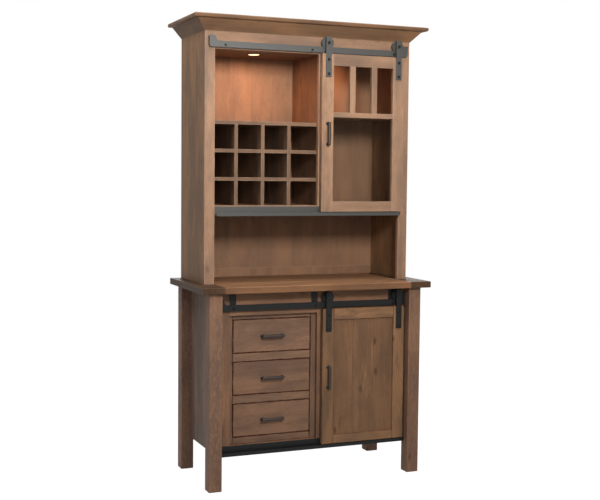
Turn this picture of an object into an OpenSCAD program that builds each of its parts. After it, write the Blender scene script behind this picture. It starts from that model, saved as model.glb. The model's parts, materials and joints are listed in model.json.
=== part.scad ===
// Two-piece hutch cabinet with sliding barn doors, drawers and a bottle rack.
// X runs across the front, Y runs from the front to the back, Z is up.
// The origin is on the floor, midway across and midway through the counter's depth.

/* [Base carcass] */
// Width of the base over the outer faces of its legs
base_w = 1056; // [1000:1:1200]
// Depth of the base over its legs
base_d = 496; // [460:1:560]
// Height of the base up to the underside of the counter
base_h = 897; // [870:1:960]
// Side of a square leg
leg_size = 61; // [50:1:75]
// Height of the glide under each leg
glide_h = 4; // [2:0.5:8]
// Diameter of a glide
glide_d = 32; // [20:1:45]
// How far a side panel stands in from the leg's outer face
side_recess = 48; // [30:1:49]
// Height of the side and back panels' lower edge above the floor
skirt_z = 155; // [130:1:165]
// Thickness of the base's back panel
base_back_t = 12; // [6:1:18]
// Thickness of the shelves, floors, dividers and hutch sides
panel_t = 19; // [15:1:22]

/* [Counter] */
// Thickness of the counter
counter_t = 30; // [24:1:40]
// Overhang of the counter past the legs at each side
counter_side_over = 40; // [20:1:60]
// Overhang of the counter past the front legs
counter_front_over = 26; // [15:1:40]
// Width of the cross board at each end of the counter
breadboard_w = 106; // [80:1:130]
// Radius of the counter's eased edges
ease_r = 4; // [2:0.5:7]

/* [Base front] */
// Thickness of the face frames
face_t = 22; // [18:1:26]
// How far the base's face frame stands behind the front of the legs
face_recess = 59; // [57:1:60]
// Width of the base face frame's outer stiles
base_stile_w = 54; // [40:1:60]
// Width of the base face frame's middle stile
base_mid_stile_w = 36; // [30:1:44]
// Width of the opening that holds the drawers
drawer_bay_w = 429; // [400:1:440]
// Height of the base face frame's top rail
base_head_h = 108; // [100:1:120]
// Height of the base face frame's bottom rail
base_foot_h = 43; // [43:1:60]
// Height of that bottom rail above the floor
base_foot_z = 152; // [130:1:155]

/* [Drawers] */
// Width of the drawer frame that shows left of the drawers
drawer_stile_left = 21; // [15:1:28]
// Width of the drawer frame that shows right of the drawers
drawer_stile_right = 25; // [15:1:28]
// Height of the drawer frame that shows above the top drawer
drawer_head_h = 21; // [15:1:30]
// Height of the rails between the drawers
drawer_rail_h = 38; // [30:1:45]
// Height of the rail below the bottom drawer
drawer_foot_h = 32; // [26:1:40]
// Gap round each drawer front
drawer_reveal = 2.5; // [1:0.25:3]
// Thickness of a drawer front
drawer_front_t = 20; // [16:1:22]
// Thickness of the sides of a drawer box
drawer_wall = 12; // [9:1:15]
// Thickness of a drawer box's bottom
drawer_floor_t = 6; // [4:0.5:8]
// Height of a drawer box
drawer_box_h = 118; // [90:1:125]
// Space between a drawer box and its opening at each side
drawer_side_gap = 12; // [9:1:16]
// Height of a drawer box above the rail below it
drawer_lift = 7; // [4:1:12]
// Space behind a drawer box
drawer_back_gap = 13; // [8:1:40]
// Running clearance between a drawer box and its runners
runner_gap = 0.3; // [0.2:0.05:0.5]
// Width of the ledge that carries a drawer box
runner_ledge = 14; // [12:1:20]
// Height of the fence that guides a drawer box
runner_fence_h = 43; // [20:1:60]

/* [Hutch carcass] */
// How far each side of the hutch stands in from the base's legs
hutch_step = 14; // [0:1:40]
// Depth of the hutch
hutch_d = 368; // [330:1:400]
// Height of the open niche between the counter and the upper part
niche_h = 310; // [260:1:340]
// Height of the rail under the upper part
hutch_foot_h = 48; // [43:1:60]
// Height of the openings in the upper part
upper_h = 702; // [680:1:740]
// Height of the head above those openings, up to the crown cap
head_h = 129; // [110:1:150]
// Width of the hutch face frame's outer stiles
hutch_stile_w = 48; // [40:1:56]
// Width of the hutch face frame's middle stile
hutch_mid_stile_w = 38; // [34:1:46]
// Place of that middle stile's centre line across the hutch
hutch_mid_x = 60; // [50:1:70]
// Thickness of the hutch back
hutch_back_t = 12; // [6:1:15]
// How far the hutch back is set in from the back of the sides
hutch_back_inset = 6; // [0:1:10]
// Height of the lowest board of the hutch back
backsplash_h = 41; // [30:1:60]

/* [Rack and shelves] */
// Thickness of the rack's boards
rack_t = 16; // [12:1:18]
// Width of the rack's cells at the hutch's side
rack_side_cell_w = 130.9; // [110:0.1:150]
// Spacing of the rack's uprights
rack_pitch = 129.6; // [120:0.1:135]
// Height of the rack's cells
rack_cell_h = 112.3; // [95:0.1:120]
// Height of the display shelf's underside above the upper floor
display_shelf_z = 414; // [300:1:500]
// Height of the base cupboard shelf's underside above the cupboard floor
base_shelf_z = 300; // [200:1:380]
// Diameter of a shelf pin
pin_d = 5; // [4:0.5:7]
// Depth of a shelf pin's hole
pin_depth = 9; // [6:1:10]
// How far a shelf's front edge stands behind the face frame
shelf_front_inset = 14; // [4:1:30]
// Gap between a shelf and the back panel
shelf_back_gap = 4; // [2:0.5:8]
// Play between a shelf and the panels at its ends
shelf_play = 1; // [0.5:0.25:2]

/* [Crown] */
// Thickness of the crown's cap board
cap_t = 18; // [14:1:24]
// How far the cap stands out past the hutch at the front and sides
cap_over = 67; // [60:1:80]
// Radius of the cap's rounded edges
cap_round_r = 7; // [3:0.5:8]
// How far the sloping crown board stands out at its top
crown_out = 45; // [35:1:55]
// Height of the sloping crown board
crown_h = 51; // [40:1:60]
// Thickness of the sloping crown board, measured level
crown_t = 22; // [16:1:28]

/* [Doors] */
// Width of both doors
door_w = 425; // [423:1:430]
// Thickness of both doors
door_t = 20; // [18:1:22]
// Gap between a door's back and the face frame behind it
door_gap = 10; // [10:0.5:12]
// Width of the doors' stiles
door_stile_w = 58; // [50:1:66]
// Gap between a door's top and the track's lower edge
door_head_gap = 4; // [3:0.5:8]
// Gap between the closed base door and the leg beside it
base_door_leg_gap = 11; // [9:0.5:12]
// Distance of the closed glass door from the side of the hutch
glass_door_side_gap = 42; // [37:0.5:45]
// Height of the base door's top rail
base_door_head = 53; // [45:1:70]
// Height of the base door's bottom rail
base_door_foot = 41; // [35:1:70]
// Thickness of the base door's panel
door_panel_t = 8; // [6:1:10]
// How far the panel lies behind the door's front face
door_panel_inset = 7; // [5:1:8]
// Depth of the grooves that hold the panel and the glass
groove = 7; // [5:0.5:9]
// Height of the glass door's top rail
glass_door_head = 54; // [45:1:65]
// Height of the glass door's bottom rail
glass_door_foot = 48; // [40:1:60]
// Height of the glass door's upper lights
upper_light_h = 215; // [160:1:260]
// Width of the bars between the glass door's lights
muntin_w = 28; // [20:1:34]
// Height of the rail between the upper and lower lights
glass_mid_h = 23; // [20:1:30]
// Thickness of the glass
glass_t = 3; // [3:0.5:5]

/* [Tracks and hangers] */
// Height of a track bar
track_h = 28; // [24:1:34]
// Thickness of a track bar
track_t = 6; // [5:0.5:6.5]
// Gap between a track and the face frame behind it
track_gap = 12; // [12:0.5:14]
// Height of the base track's lower edge above the opening
base_track_rise = 23; // [15:1:25]
// Height of the hutch track's lower edge above the opening
hutch_track_rise = 6; // [6:1:20]
// Gap between each end of the base track and the leg beside it
track_end_gap = 3; // [2:0.5:5]
// Distance of the hutch track's ends from the sides of the hutch
hutch_track_inset = 17; // [9:1:21]
// Height of the end stops above the track
stop_h = 24; // [18:1:26]
// Width of the base track's end stops at their top
base_stop_w = 15; // [10:1:15]
// Width of the hutch track's end stops at their top
hutch_stop_w = 26; // [18:1:28]
// How much wider an end stop is at its foot
stop_flare = 10; // [4:1:10]
// Radius of the tracks' lower outer corners
track_corner_r = 12; // [4:1:14]
// Distance of the outer bolts from the base track's ends
base_bolt_inset = 64; // [40:1:90]
// Distance of the outer bolts from the hutch track's ends
hutch_bolt_inset = 75; // [50:1:100]
// Height of the bolts above a track's lower edge
track_bolt_z = 11; // [9:0.5:11.5]
// Diameter of the track bolts' shanks
track_bolt_d = 6; // [5:0.5:7]
// Diameter of the track bolts' heads and spacers
track_bolt_head_d = 11; // [10:0.5:12]
// Width of the brackets that hold the base track
bracket_w = 30; // [20:1:40]
// Thickness of those brackets
bracket_t = 4; // [3:0.5:4.5]
// Width of a hanger strap
strap_w = 28; // [24:1:34]
// Thickness of a hanger strap
strap_t = 5; // [4:0.5:6]
// Length of a hanger strap that lies on the door
strap_lap = 107; // [98:1:130]
// Distance of a hanger's centre line from the door's edge
hanger_inset = 30; // [30:0.5:32]
// Distances of the hanger screws below the door's top
hanger_screw_z = [26, 92];
// Diameter of the hanger screws' heads
screw_head_d = 14; // [10:1:18]
// Height of the hanger screws' heads
screw_head_h = 3.8; // [3:0.2:4.4]
// Diameter of the hanger screws' shanks
screw_d = 6; // [4:0.5:8]
// Length of the hanger screws in the wood
screw_depth = 14; // [10:1:16]

/* [Wheels] */
// Outer diameter of a wheel
wheel_d = 58; // [54:1:58]
// Diameter of a wheel's tread, at the bottom of its groove
tread_d = 36; // [36:1:42]
// Width over a wheel
wheel_t = 12; // [11:0.5:13]
// Width of a wheel's groove
wheel_groove_w = 8; // [7.5:0.25:9]
// Diameter of an axle
axle_d = 8; // [6:0.5:10]
// Clearance of a wheel's bore on its axle, measured on the diameter
axle_play = 0.1; // [0.06:0.02:0.18]
// Height of a tread above the track that it runs on
tread_gap = 0.3; // [0.2:0.05:0.6]
// Diameter of an axle's head
axle_head_d = 16; // [13:1:20]
// Thickness of an axle's head
axle_head_t = 5; // [3:0.5:6]
// Diameter of an axle's spacer and of its nut
axle_collar_d = 14; // [12:1:18]
// Thickness of an axle's nut
axle_nut_t = 2.5; // [2:0.5:3]
// Gap at each side of a wheel
wheel_side_gap = 0.3; // [0.2:0.05:0.5]

/* [Floor guides] */
// Height of a guide's back web
guide_h = 43; // [36:1:43]
// Thickness of a guide's metal
guide_t = 3; // [2:0.5:4]
// Height of a guide's front lip
guide_lip_h = 16.5; // [14:0.5:22]
// How far a guide's lip lies behind the door's front face
guide_lip_inset = 2; // [1:0.5:4]
// Gap between a door's lower edge and the guide's lip
door_foot_gap = 2.5; // [2:0.5:4]
// Gap between each end of a guide and what it fits between
guide_end_gap = 2; // [1:0.5:4]
// Thickness of the block that runs in a guide
guide_block_t = 14; // [10:1:18]
// Length of that block
guide_block_l = 40; // [30:1:50]
// Gap between that block and the bottom of the guide
guide_block_gap = 3; // [2:0.5:5]

/* [Pulls] */
// Distance between the two posts of a pull
pull_span = 96; // [80:1:128]
// How far a pull stands out
pull_out = 29; // [26:0.5:30]
// Height of a pull's bar across its length
pull_bar_w = 14; // [9:1:16]
// Thickness of a pull's bar from front to back
pull_bar_t = 9; // [6:1:10]
// Radius of the bar's front edges
pull_bar_r = 4; // [1:0.5:4]
// Radius in which the bar's front turns back at each end
pull_end_r = 8; // [2:0.5:9]
// Diameter of a pull's posts
pull_post_d = 9; // [6:0.5:10]
// Diameter of the rose at the foot of each post
pull_rose_d = 18; // [14:1:22]
// Thickness of that rose
pull_rose_t = 3; // [2:0.5:5]
// How far a drawer's pull sits below the middle of its opening
drawer_pull_drop = 3; // [0:1:20]
// Height of the base door's pull centre above the door's lower edge
base_pull_z = 317; // [200:1:450]
// Height of the glass door's pull centre above the door's lower edge
glass_pull_z = 363; // [200:1:500]

/* [Lights] */
// Place of the left light across the hutch
light_left_x = -230; // [-400:1:-100]
// Place of the right light across the hutch
light_right_x = 281; // [150:1:400]
// Distance of the lights behind the front of the hutch
light_y = 142; // [80:1:260]
// Diameter of a light's trim ring
light_trim_d = 70; // [64:1:84]
// Height of a light's trim ring under the deck
light_trim_t = 3; // [2:0.5:6]
// Diameter of a light's body in the deck
light_body_d = 60; // [54:1:62]
// Height of a light's body
light_body_h = 16; // [10:1:18]
// Diameter of a light's lens
light_lens_d = 52; // [40:1:52]

/* [Hidden] */
$fn = 64;
fit = 0.2;
cut = 1;
// Joint line between two boards of one assembly
seam = 0.1;

oak_top = [0.50, 0.38, 0.30];
oak_end = [0.36, 0.32, 0.30];
oak_base = [0.42, 0.31, 0.24];
oak_front = [0.55, 0.41, 0.31];
oak_hutch = [0.62, 0.48, 0.38];
oak_inside = [0.50, 0.36, 0.26];
steel_dark = [0.16, 0.18, 0.19];
steel_grey = [0.36, 0.37, 0.37];
bronze = [0.20, 0.16, 0.13];

// Driving planes
back_y = (base_d + counter_front_over) / 2;
leg_front_y = back_y - base_d;
base_face_y = leg_front_y + face_recess;
counter_front_y = -back_y;
counter_w = base_w + 2 * counter_side_over;
counter_z = base_h + counter_t;
hutch_face_y = back_y - hutch_d;

// Base carcass
leg_in_x = base_w / 2 - leg_size;
side_out_x = base_w / 2 - side_recess;
base_back_y = back_y - base_back_t;
base_in_y = base_face_y + face_t;
base_open_l = -leg_in_x + base_stile_w;
base_mid_l = base_open_l + drawer_bay_w;
base_mid_r = base_mid_l + base_mid_stile_w;
base_open_r = leg_in_x - base_stile_w;
base_open_z0 = base_foot_z + base_foot_h;
base_open_z1 = base_h - base_head_h;
divider_x = (base_mid_l + base_mid_r) / 2;

// Drawers
bay_l = base_open_l + drawer_stile_left;
bay_r = base_mid_l - drawer_stile_right;
drawer_rails = 2;
drawer_n = drawer_rails + 1;
drawer_open_h = (base_open_z1 - base_open_z0 - drawer_head_h - drawer_foot_h
    - drawer_rails * drawer_rail_h) / drawer_n;
drawer_frame_t = face_t;
drawer_frame_lap = 20;
drawer_in_y = base_in_y + drawer_frame_t;
box_front_y = base_in_y + drawer_front_t;
box_back_y = base_back_y - drawer_back_gap;
box_l = bay_l + drawer_side_gap;
box_r = bay_r - drawer_side_gap;
box_floor_z = 8;
box_groove = 4;
runner_h = 20;

// Hutch carcass
hutch_x = base_w / 2 - hutch_step;
hutch_in_x = hutch_x - panel_t;
hutch_open_x = hutch_x - hutch_stile_w;
hutch_in_y = hutch_face_y + face_t;
hutch_back_y = back_y - hutch_back_inset - hutch_back_t;
niche_z = counter_z + niche_h;
upper_z = niche_z + hutch_foot_h;
deck_z = upper_z + upper_h;
cap_z = deck_z + head_h;
hutch_mid_l = hutch_mid_x - hutch_mid_stile_w / 2;
hutch_mid_r = hutch_mid_x + hutch_mid_stile_w / 2;
hutch_div_l = hutch_mid_x - panel_t / 2;
hutch_div_r = hutch_mid_x + panel_t / 2;

// Rack and shelves
rack_rows = 3;
rack_lap_y = (hutch_in_y + hutch_back_y) / 2;
rack_top_z = upper_z + rack_rows * rack_cell_h + (rack_rows - 1) * rack_t;
rack_x = [for (i = [0:2]) -hutch_in_x + rack_side_cell_w + rack_t / 2 + i * rack_pitch];
slat_z = [for (i = [1:rack_rows - 1]) upper_z + i * rack_cell_h + (i - 1) * rack_t];
pin_stand = 8;
pin_inset = 50;
base_shelf_bottom = base_open_z0 + base_shelf_z;
base_shelf_y = [base_in_y + shelf_front_inset, base_back_y - shelf_back_gap];
display_bottom = upper_z + display_shelf_z;
display_y = [hutch_in_y + shelf_front_inset, hutch_back_y - shelf_back_gap];

// Tracks
base_track_z = base_open_z1 + base_track_rise;
hutch_track_z = deck_z + hutch_track_rise;
base_track_x = leg_in_x - track_end_gap;
hutch_track_x = hutch_x - hutch_track_inset;
base_bolt_pitch = base_track_x - base_bolt_inset;
hutch_bolt_pitch = hutch_track_x - hutch_bolt_inset;
track_front = track_gap + track_t;
bolt_head_t = 4;
bolt_in_wood = 16;

// Doors
door_back = door_gap;
door_front = door_gap + door_t;
base_door_x = leg_in_x - base_door_leg_gap - door_w;
glass_door_x = hutch_x - glass_door_side_gap - door_w;
base_door_z0 = base_foot_z + guide_lip_h + door_foot_gap;
base_door_z1 = base_track_z - door_head_gap;
glass_door_z0 = niche_z + guide_lip_h + door_foot_gap;
glass_door_z1 = hutch_track_z - door_head_gap;
glass_mid_z1 = glass_door_z1 - glass_door_head - upper_light_h;
glass_mid_z0 = glass_mid_z1 - glass_mid_h;
glass_clear_x = [glass_door_x + door_stile_w, glass_door_x + door_w - door_stile_w];
lite_n = 3;
lite_w = (glass_clear_x[1] - glass_clear_x[0] - (lite_n - 1) * muntin_w) / lite_n;
glass_inset = (door_t - glass_t) / 2;

screw_head_rim = 1.2;

// Wheels
axle_rise = track_h + tread_d / 2 + tread_gap;
wheel_front = track_gap + track_t / 2 + wheel_t / 2;
wheel_back = track_gap + track_t / 2 - wheel_t / 2;

// A board between two limits along each axis
module board(x, y, z)
    translate([x[0], y[0], z[0]])
        cube([x[1] - x[0], y[1] - y[0], z[1] - z[0]]);

// A board and its mirror image at the other side of the middle plane
module board_pair(x, y, z) {
    board(x, y, z);
    board([-x[1], -x[0]], y, z);
}

// A round bar along Y, from y0 to y1
module bar_y(x, y0, y1, z, d)
    translate([x, y1, z]) rotate([90, 0, 0]) cylinder(d = d, h = y1 - y0);

// A round bar along X, from x0 to x1
module bar_x(x0, x1, y, z, d)
    translate([x0, y, z]) rotate([0, 90, 0]) cylinder(d = d, h = x1 - x0);

// A hexagonal bar along Y, measured across its corners
module hex_y(x, y0, y1, z, d)
    translate([x, y1, z]) rotate([90, 0, 0]) cylinder(d = d, h = y1 - y0, $fn = 6);

// An outline drawn in X and Z, made solid from y0 to y1
module plate_xz(y0, y1)
    translate([0, y1, 0]) rotate([90, 0, 0]) linear_extrude(y1 - y0) children();

// An outline drawn in Y and Z, made solid from x0 to x1
module strip_yz(x0, x1)
    translate([x0, 0, 0]) rotate([90, 0, 90]) linear_extrude(x1 - x0) children();

// A rectangle whose corners are rounded at the low end, the high end or both
module eased_rect(u, v, r, low = true, high = true) {
    translate([u[0] + (low ? r : 0), v[0]])
        square([u[1] - u[0] - (low ? r : 0) - (high ? r : 0), v[1] - v[0]]);
    translate([u[0], v[0] + r]) square([u[1] - u[0], v[1] - v[0] - 2 * r]);
    for (w = [v[0] + r, v[1] - r]) {
        if (low) translate([u[0] + r, w]) circle(r);
        if (high) translate([u[1] - r, w]) circle(r);
    }
}

// A slab with its front edge eased, and its ends where asked
module eased_slab(x, y, z, r, left, right)
    intersection() {
        strip_yz(x[0], x[1]) eased_rect(y, z, r, true, false);
        plate_xz(y[0], y[1]) eased_rect(x, z, r, left, right);
    }

// Lower edge of the opening of drawer i, counted from the top
function drawer_z(i) = base_open_z1 - drawer_head_h - i * drawer_open_h - (i - 1) * drawer_rail_h;

// Legs and glides
module legs(y)
    color(oak_base) board_pair([leg_in_x, base_w / 2], y, [glide_h, base_h]);

module legs_front() legs([leg_front_y, leg_front_y + leg_size]);

module legs_back() legs([back_y - leg_size, back_y]);

module leg_glides()
    color(steel_dark)
        for (x = [-1, 1] * (base_w - leg_size) / 2)
            for (y = [leg_front_y + leg_size / 2, back_y - leg_size / 2])
                translate([x, y, 0]) cylinder(d = glide_d, h = glide_h);

// Bores for one shelf's pins, in the panels at its ends
module pin_bores(x_low, x_high, ys, shelf_bottom)
    for (y = ys)
        for (x = [x_low, x_high])
            bar_x(x - pin_depth, x + pin_depth, y, shelf_bottom - pin_d / 2, pin_d + fit);

module base_pin_bores()
    pin_bores(divider_x + panel_t / 2, leg_in_x, pin_rows(base_shelf_y), base_shelf_bottom);

module hutch_pin_bores()
    pin_bores(hutch_div_r, hutch_in_x, pin_rows(display_y), display_bottom);

function pin_rows(y) = [y[0] + pin_inset, y[1] - pin_inset];

// Base carcass
module base_side(x)
    color(oak_base)
        board(x, [leg_front_y + leg_size, back_y - leg_size], [skirt_z, base_h]);

module base_side_left() base_side([-side_out_x, -leg_in_x]);

module base_side_right()
    difference() {
        base_side([leg_in_x, side_out_x]);
        color(oak_base) base_pin_bores();
    }

module base_back()
    color(oak_inside)
        board([-leg_in_x, leg_in_x], [base_back_y, back_y], [skirt_z, base_h]);

module base_bottom()
    color(oak_inside)
        board([-leg_in_x, leg_in_x], [base_in_y, base_back_y],
            [base_open_z0 - panel_t, base_open_z0]);

module base_divider()
    color(oak_inside)
        difference() {
            board([divider_x - panel_t / 2, divider_x + panel_t / 2],
                [base_in_y, base_back_y], [base_open_z0, base_h]);
            base_pin_bores();
        }

module base_face_frame()
    color(oak_front)
        difference() {
            union() {
                board([-leg_in_x, base_open_l], [base_face_y, base_in_y], [base_foot_z, base_h]);
                board([base_open_r, leg_in_x], [base_face_y, base_in_y], [base_foot_z, base_h]);
                board([base_mid_l, base_mid_r], [base_face_y, base_in_y],
                    [base_open_z0 + seam, base_open_z1 - seam]);
                board([base_open_l + seam, base_open_r - seam], [base_face_y, base_in_y],
                    [base_open_z1, base_h]);
                board([base_open_l + seam, base_open_r - seam], [base_face_y, base_in_y],
                    [base_foot_z, base_open_z0]);
            }
            track_bolt_bores(base_bolt_pitch, base_face_y, base_track_z);
        }

// Drawer frame and runners
module drawer_frame() {
    y = [base_in_y, drawer_in_y];
    rail_x = [bay_l + seam, bay_r - seam];
    color(oak_front) {
        board([-leg_in_x, bay_l], y, [base_open_z0, base_open_z1 + drawer_frame_lap]);
        board([bay_r, divider_x - panel_t / 2], y,
            [base_open_z0, base_open_z1 + drawer_frame_lap]);
        board(rail_x, y, [base_open_z1 - drawer_head_h, base_open_z1 + drawer_frame_lap]);
        board(rail_x, y, [base_open_z0, drawer_z(drawer_n)]);
        for (i = [1:drawer_rails])
            board(rail_x, y, [drawer_z(i) - drawer_rail_h, drawer_z(i)]);
    }
}

// One runner's outline, for a drawer box side at x that lies towards +X from it
module runner_outline(i)
    translate([0, drawer_z(i)]) {
        translate([0, -runner_h])
            square([drawer_side_gap + runner_ledge, runner_h + drawer_lift - runner_gap]);
        square([drawer_side_gap - runner_gap, drawer_lift + runner_fence_h]);
    }

module drawer_runners()
    color(oak_inside)
        for (i = [1:drawer_n]) {
            translate([bay_l, 0, 0]) plate_xz(drawer_in_y, base_back_y) runner_outline(i);
            translate([bay_r, 0, 0]) mirror([1, 0, 0])
                plate_xz(drawer_in_y, base_back_y) runner_outline(i);
        }

// A shelf between two panels
module shelf(x_low, x_high, y, z)
    color(oak_inside) board([x_low + shelf_play, x_high - shelf_play], y, [z, z + panel_t]);

module base_shelf()
    shelf(divider_x + panel_t / 2, leg_in_x, base_shelf_y, base_shelf_bottom);

// Counter
module base_top()
    color(oak_top)
        eased_slab([-counter_w / 2 + breadboard_w, counter_w / 2 - breadboard_w],
            [counter_front_y, back_y], [base_h, counter_z], ease_r, false, false);

module breadboard_ends()
    color(oak_end) {
        eased_slab([-counter_w / 2, -counter_w / 2 + breadboard_w],
            [counter_front_y, back_y], [base_h, counter_z], ease_r, true, false);
        eased_slab([counter_w / 2 - breadboard_w, counter_w / 2],
            [counter_front_y, back_y], [base_h, counter_z], ease_r, false, true);
    }

// Half of a track's outline: a flat bar whose end turns up as a stop
module half_track_outline(half_l, stop_w) {
    r = track_corner_r;
    square([half_l - r, track_h]);
    translate([0, r]) square([half_l, track_h - r]);
    translate([half_l - r, r]) circle(r);
    polygon([[half_l, track_h - cut], [half_l, track_h + stop_h],
        [half_l - stop_w, track_h + stop_h], [half_l - stop_w - stop_flare, track_h],
        [half_l - stop_w - stop_flare, track_h - cut]]);
}

module track_bolt_bores(pitch, face_y, z)
    for (i = [-1:1])
        bar_y(i * pitch, face_y - track_front - cut, face_y + bolt_in_wood + fit,
            z + track_bolt_z, track_bolt_d + 2 * fit);

module track(half_l, stop_w, pitch, face_y, z, paint)
    color(paint)
        difference() {
            translate([0, 0, z])
                plate_xz(face_y - track_front, face_y - track_gap) {
                    half_track_outline(half_l, stop_w);
                    mirror([1, 0]) half_track_outline(half_l, stop_w);
                }
            track_bolt_bores(pitch, face_y, z);
        }

module base_track()
    track(base_track_x, base_stop_w, base_bolt_pitch, base_face_y, base_track_z, steel_dark);

module hutch_track()
    track(hutch_track_x, hutch_stop_w, hutch_bolt_pitch, hutch_face_y, hutch_track_z,
        steel_grey);

module base_track_brackets()
    color(steel_dark)
        difference() {
            for (x = [-1:1])
                board([x * base_bolt_pitch - bracket_w / 2, x * base_bolt_pitch + bracket_w / 2],
                    [base_face_y - bracket_t, base_face_y], [base_track_z, base_h]);
            track_bolt_bores(base_bolt_pitch, base_face_y, base_track_z);
        }

// One track bolt, with the spacer that holds the track off what is behind it
module track_bolt(x, face_y, z, stand) {
    bar_y(x, face_y - track_front, face_y + bolt_in_wood, z, track_bolt_d);
    bar_y(x, face_y - track_front - bolt_head_t, face_y - track_front, z, track_bolt_head_d);
    difference() {
        bar_y(x, face_y - track_gap, face_y - stand, z, track_bolt_head_d);
        bar_y(x, face_y - track_gap - cut, face_y - stand + cut, z, track_bolt_d + 2 * fit);
    }
}

module track_bolts()
    color(steel_dark)
        for (i = [-1:1]) {
            track_bolt(i * base_bolt_pitch, base_face_y, base_track_z + track_bolt_z, bracket_t);
            track_bolt(i * hutch_bolt_pitch, hutch_face_y, hutch_track_z + track_bolt_z, 0);
        }

// Floor guide: a channel with a tall back web and a low front lip
module guide(half_l, face_y, z, paint)
    color(paint)
        strip_yz(-half_l, half_l)
            translate([face_y, z])
                polygon([[0, 0], [0, guide_h], [-guide_t, guide_h], [-guide_t, guide_t],
                    [-door_front + guide_lip_inset + guide_t, guide_t],
                    [-door_front + guide_lip_inset + guide_t, guide_lip_h],
                    [-door_front + guide_lip_inset, guide_lip_h],
                    [-door_front + guide_lip_inset, 0]]);

module base_guide()
    guide(leg_in_x - guide_end_gap, base_face_y, base_foot_z, steel_dark);

module hutch_guide()
    guide(hutch_open_x - guide_end_gap, hutch_face_y, niche_z, steel_grey);

// Hutch carcass
module hutch_side(x)
    color(oak_hutch) board(x, [hutch_in_y, back_y], [counter_z, cap_z]);

module hutch_side_left() hutch_side([-hutch_x, -hutch_in_x]);

module hutch_side_right()
    difference() {
        hutch_side([hutch_in_x, hutch_x]);
        color(oak_hutch) hutch_pin_bores();
    }

module hutch_face_frame() {
    y = [hutch_face_y, hutch_in_y];
    rail_x = [-hutch_open_x + seam, hutch_open_x - seam];
    color(oak_hutch)
        difference() {
            union() {
                board_pair([hutch_open_x, hutch_x], y, [counter_z, cap_z]);
                board(rail_x, y, [deck_z, cap_z]);
                board(rail_x, y, [niche_z, upper_z]);
                board([hutch_mid_l, hutch_mid_r], y, [upper_z + seam, deck_z - seam]);
            }
            track_bolt_bores(hutch_bolt_pitch, hutch_face_y, hutch_track_z);
        }
}

module light_deck()
    color(oak_inside)
        difference() {
            board([-hutch_in_x, hutch_in_x], [hutch_in_y, hutch_back_y],
                [deck_z, deck_z + panel_t]);
            for (x = [light_left_x, light_right_x])
                translate([x, hutch_face_y + light_y, deck_z - cut])
                    cylinder(d = light_body_d + 2 * fit, h = panel_t + 2 * cut);
        }

module hutch_divider()
    color(oak_inside)
        difference() {
            board([hutch_div_l, hutch_div_r], [hutch_in_y, hutch_back_y], [upper_z, deck_z]);
            hutch_pin_bores();
        }

module hutch_floor()
    color(oak_inside)
        board([-hutch_in_x, hutch_in_x], [hutch_in_y, hutch_back_y],
            [upper_z - panel_t, upper_z]);

module hutch_back()
    color(oak_inside) {
        board([-hutch_in_x, hutch_in_x], [hutch_back_y, hutch_back_y + hutch_back_t],
            [counter_z, counter_z + backsplash_h]);
        board([-hutch_in_x, hutch_in_x], [hutch_back_y, hutch_back_y + hutch_back_t],
            [counter_z + backsplash_h + seam, cap_z]);
    }

// Bottle rack: uprights and slats halved over each other
module rack_shelf()
    color(oak_inside)
        board([-hutch_in_x, hutch_div_l], [hutch_in_y, hutch_back_y],
            [rack_top_z, rack_top_z + rack_t]);

module rack_uprights()
    color(oak_inside)
        difference() {
            for (x = rack_x)
                board([x - rack_t / 2, x + rack_t / 2], [hutch_in_y, hutch_back_y],
                    [upper_z, rack_top_z]);
            for (z = slat_z)
                board([-hutch_in_x, hutch_div_l], [rack_lap_y, hutch_back_y + cut],
                    [z, z + rack_t]);
        }

module rack_slats()
    color(oak_inside)
        difference() {
            for (z = slat_z)
                board([-hutch_in_x, hutch_div_l], [hutch_in_y, hutch_back_y], [z, z + rack_t]);
            for (x = rack_x)
                board([x - rack_t / 2, x + rack_t / 2], [hutch_in_y - cut, rack_lap_y],
                    [upper_z, rack_top_z]);
        }

module display_shelf()
    shelf(hutch_div_r, hutch_in_x, display_y, display_bottom);

// Shelf pins stand out of their bores under the ends of each shelf
module pins(x_low, x_high, y, shelf_bottom)
    for (row = pin_rows(y)) {
        bar_x(x_low - pin_depth + fit, x_low + pin_stand, row, shelf_bottom - pin_d / 2, pin_d);
        bar_x(x_high - pin_stand, x_high + pin_depth - fit, row, shelf_bottom - pin_d / 2, pin_d);
    }

module shelf_pins()
    color(steel_grey) {
        pins(divider_x + panel_t / 2, leg_in_x, base_shelf_y, base_shelf_bottom);
        pins(hutch_div_r, hutch_in_x, display_y, display_bottom);
    }

// Crown: sloping boards mitred at the front corners, under a cap board
module crown_outline()
    polygon([[0, 0], [crown_out, crown_h], [crown_out - crown_t, crown_h],
        [0, crown_h - (crown_out - crown_t) * crown_h / crown_out]]);

module crown_front()
    intersection() {
        translate([0, hutch_face_y, cap_z - crown_h])
            strip_yz(-hutch_x - crown_out, hutch_x + crown_out) mirror([1, 0]) crown_outline();
        translate([0, 0, cap_z - crown_h])
            linear_extrude(crown_h)
                polygon([[-hutch_x + seam, hutch_face_y], [hutch_x - seam, hutch_face_y],
                    [hutch_x + crown_out - seam, hutch_face_y - crown_out],
                    [-hutch_x - crown_out + seam, hutch_face_y - crown_out]]);
    }

module crown_return()
    intersection() {
        translate([hutch_x, 0, cap_z - crown_h])
            plate_xz(hutch_face_y - crown_out, back_y) crown_outline();
        translate([0, 0, cap_z - crown_h])
            linear_extrude(crown_h)
                polygon([[hutch_x, hutch_face_y], [hutch_x, back_y],
                    [hutch_x + crown_out, back_y],
                    [hutch_x + crown_out, hutch_face_y - crown_out]]);
    }

module crown_moulding()
    color(oak_front) {
        crown_front();
        crown_return();
        mirror([1, 0, 0]) crown_return();
    }

module crown_cap()
    color(oak_front)
        eased_slab([-hutch_x - cap_over, hutch_x + cap_over],
            [hutch_face_y - cap_over, back_y], [cap_z, cap_z + cap_t], cap_round_r, true, true);

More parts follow.
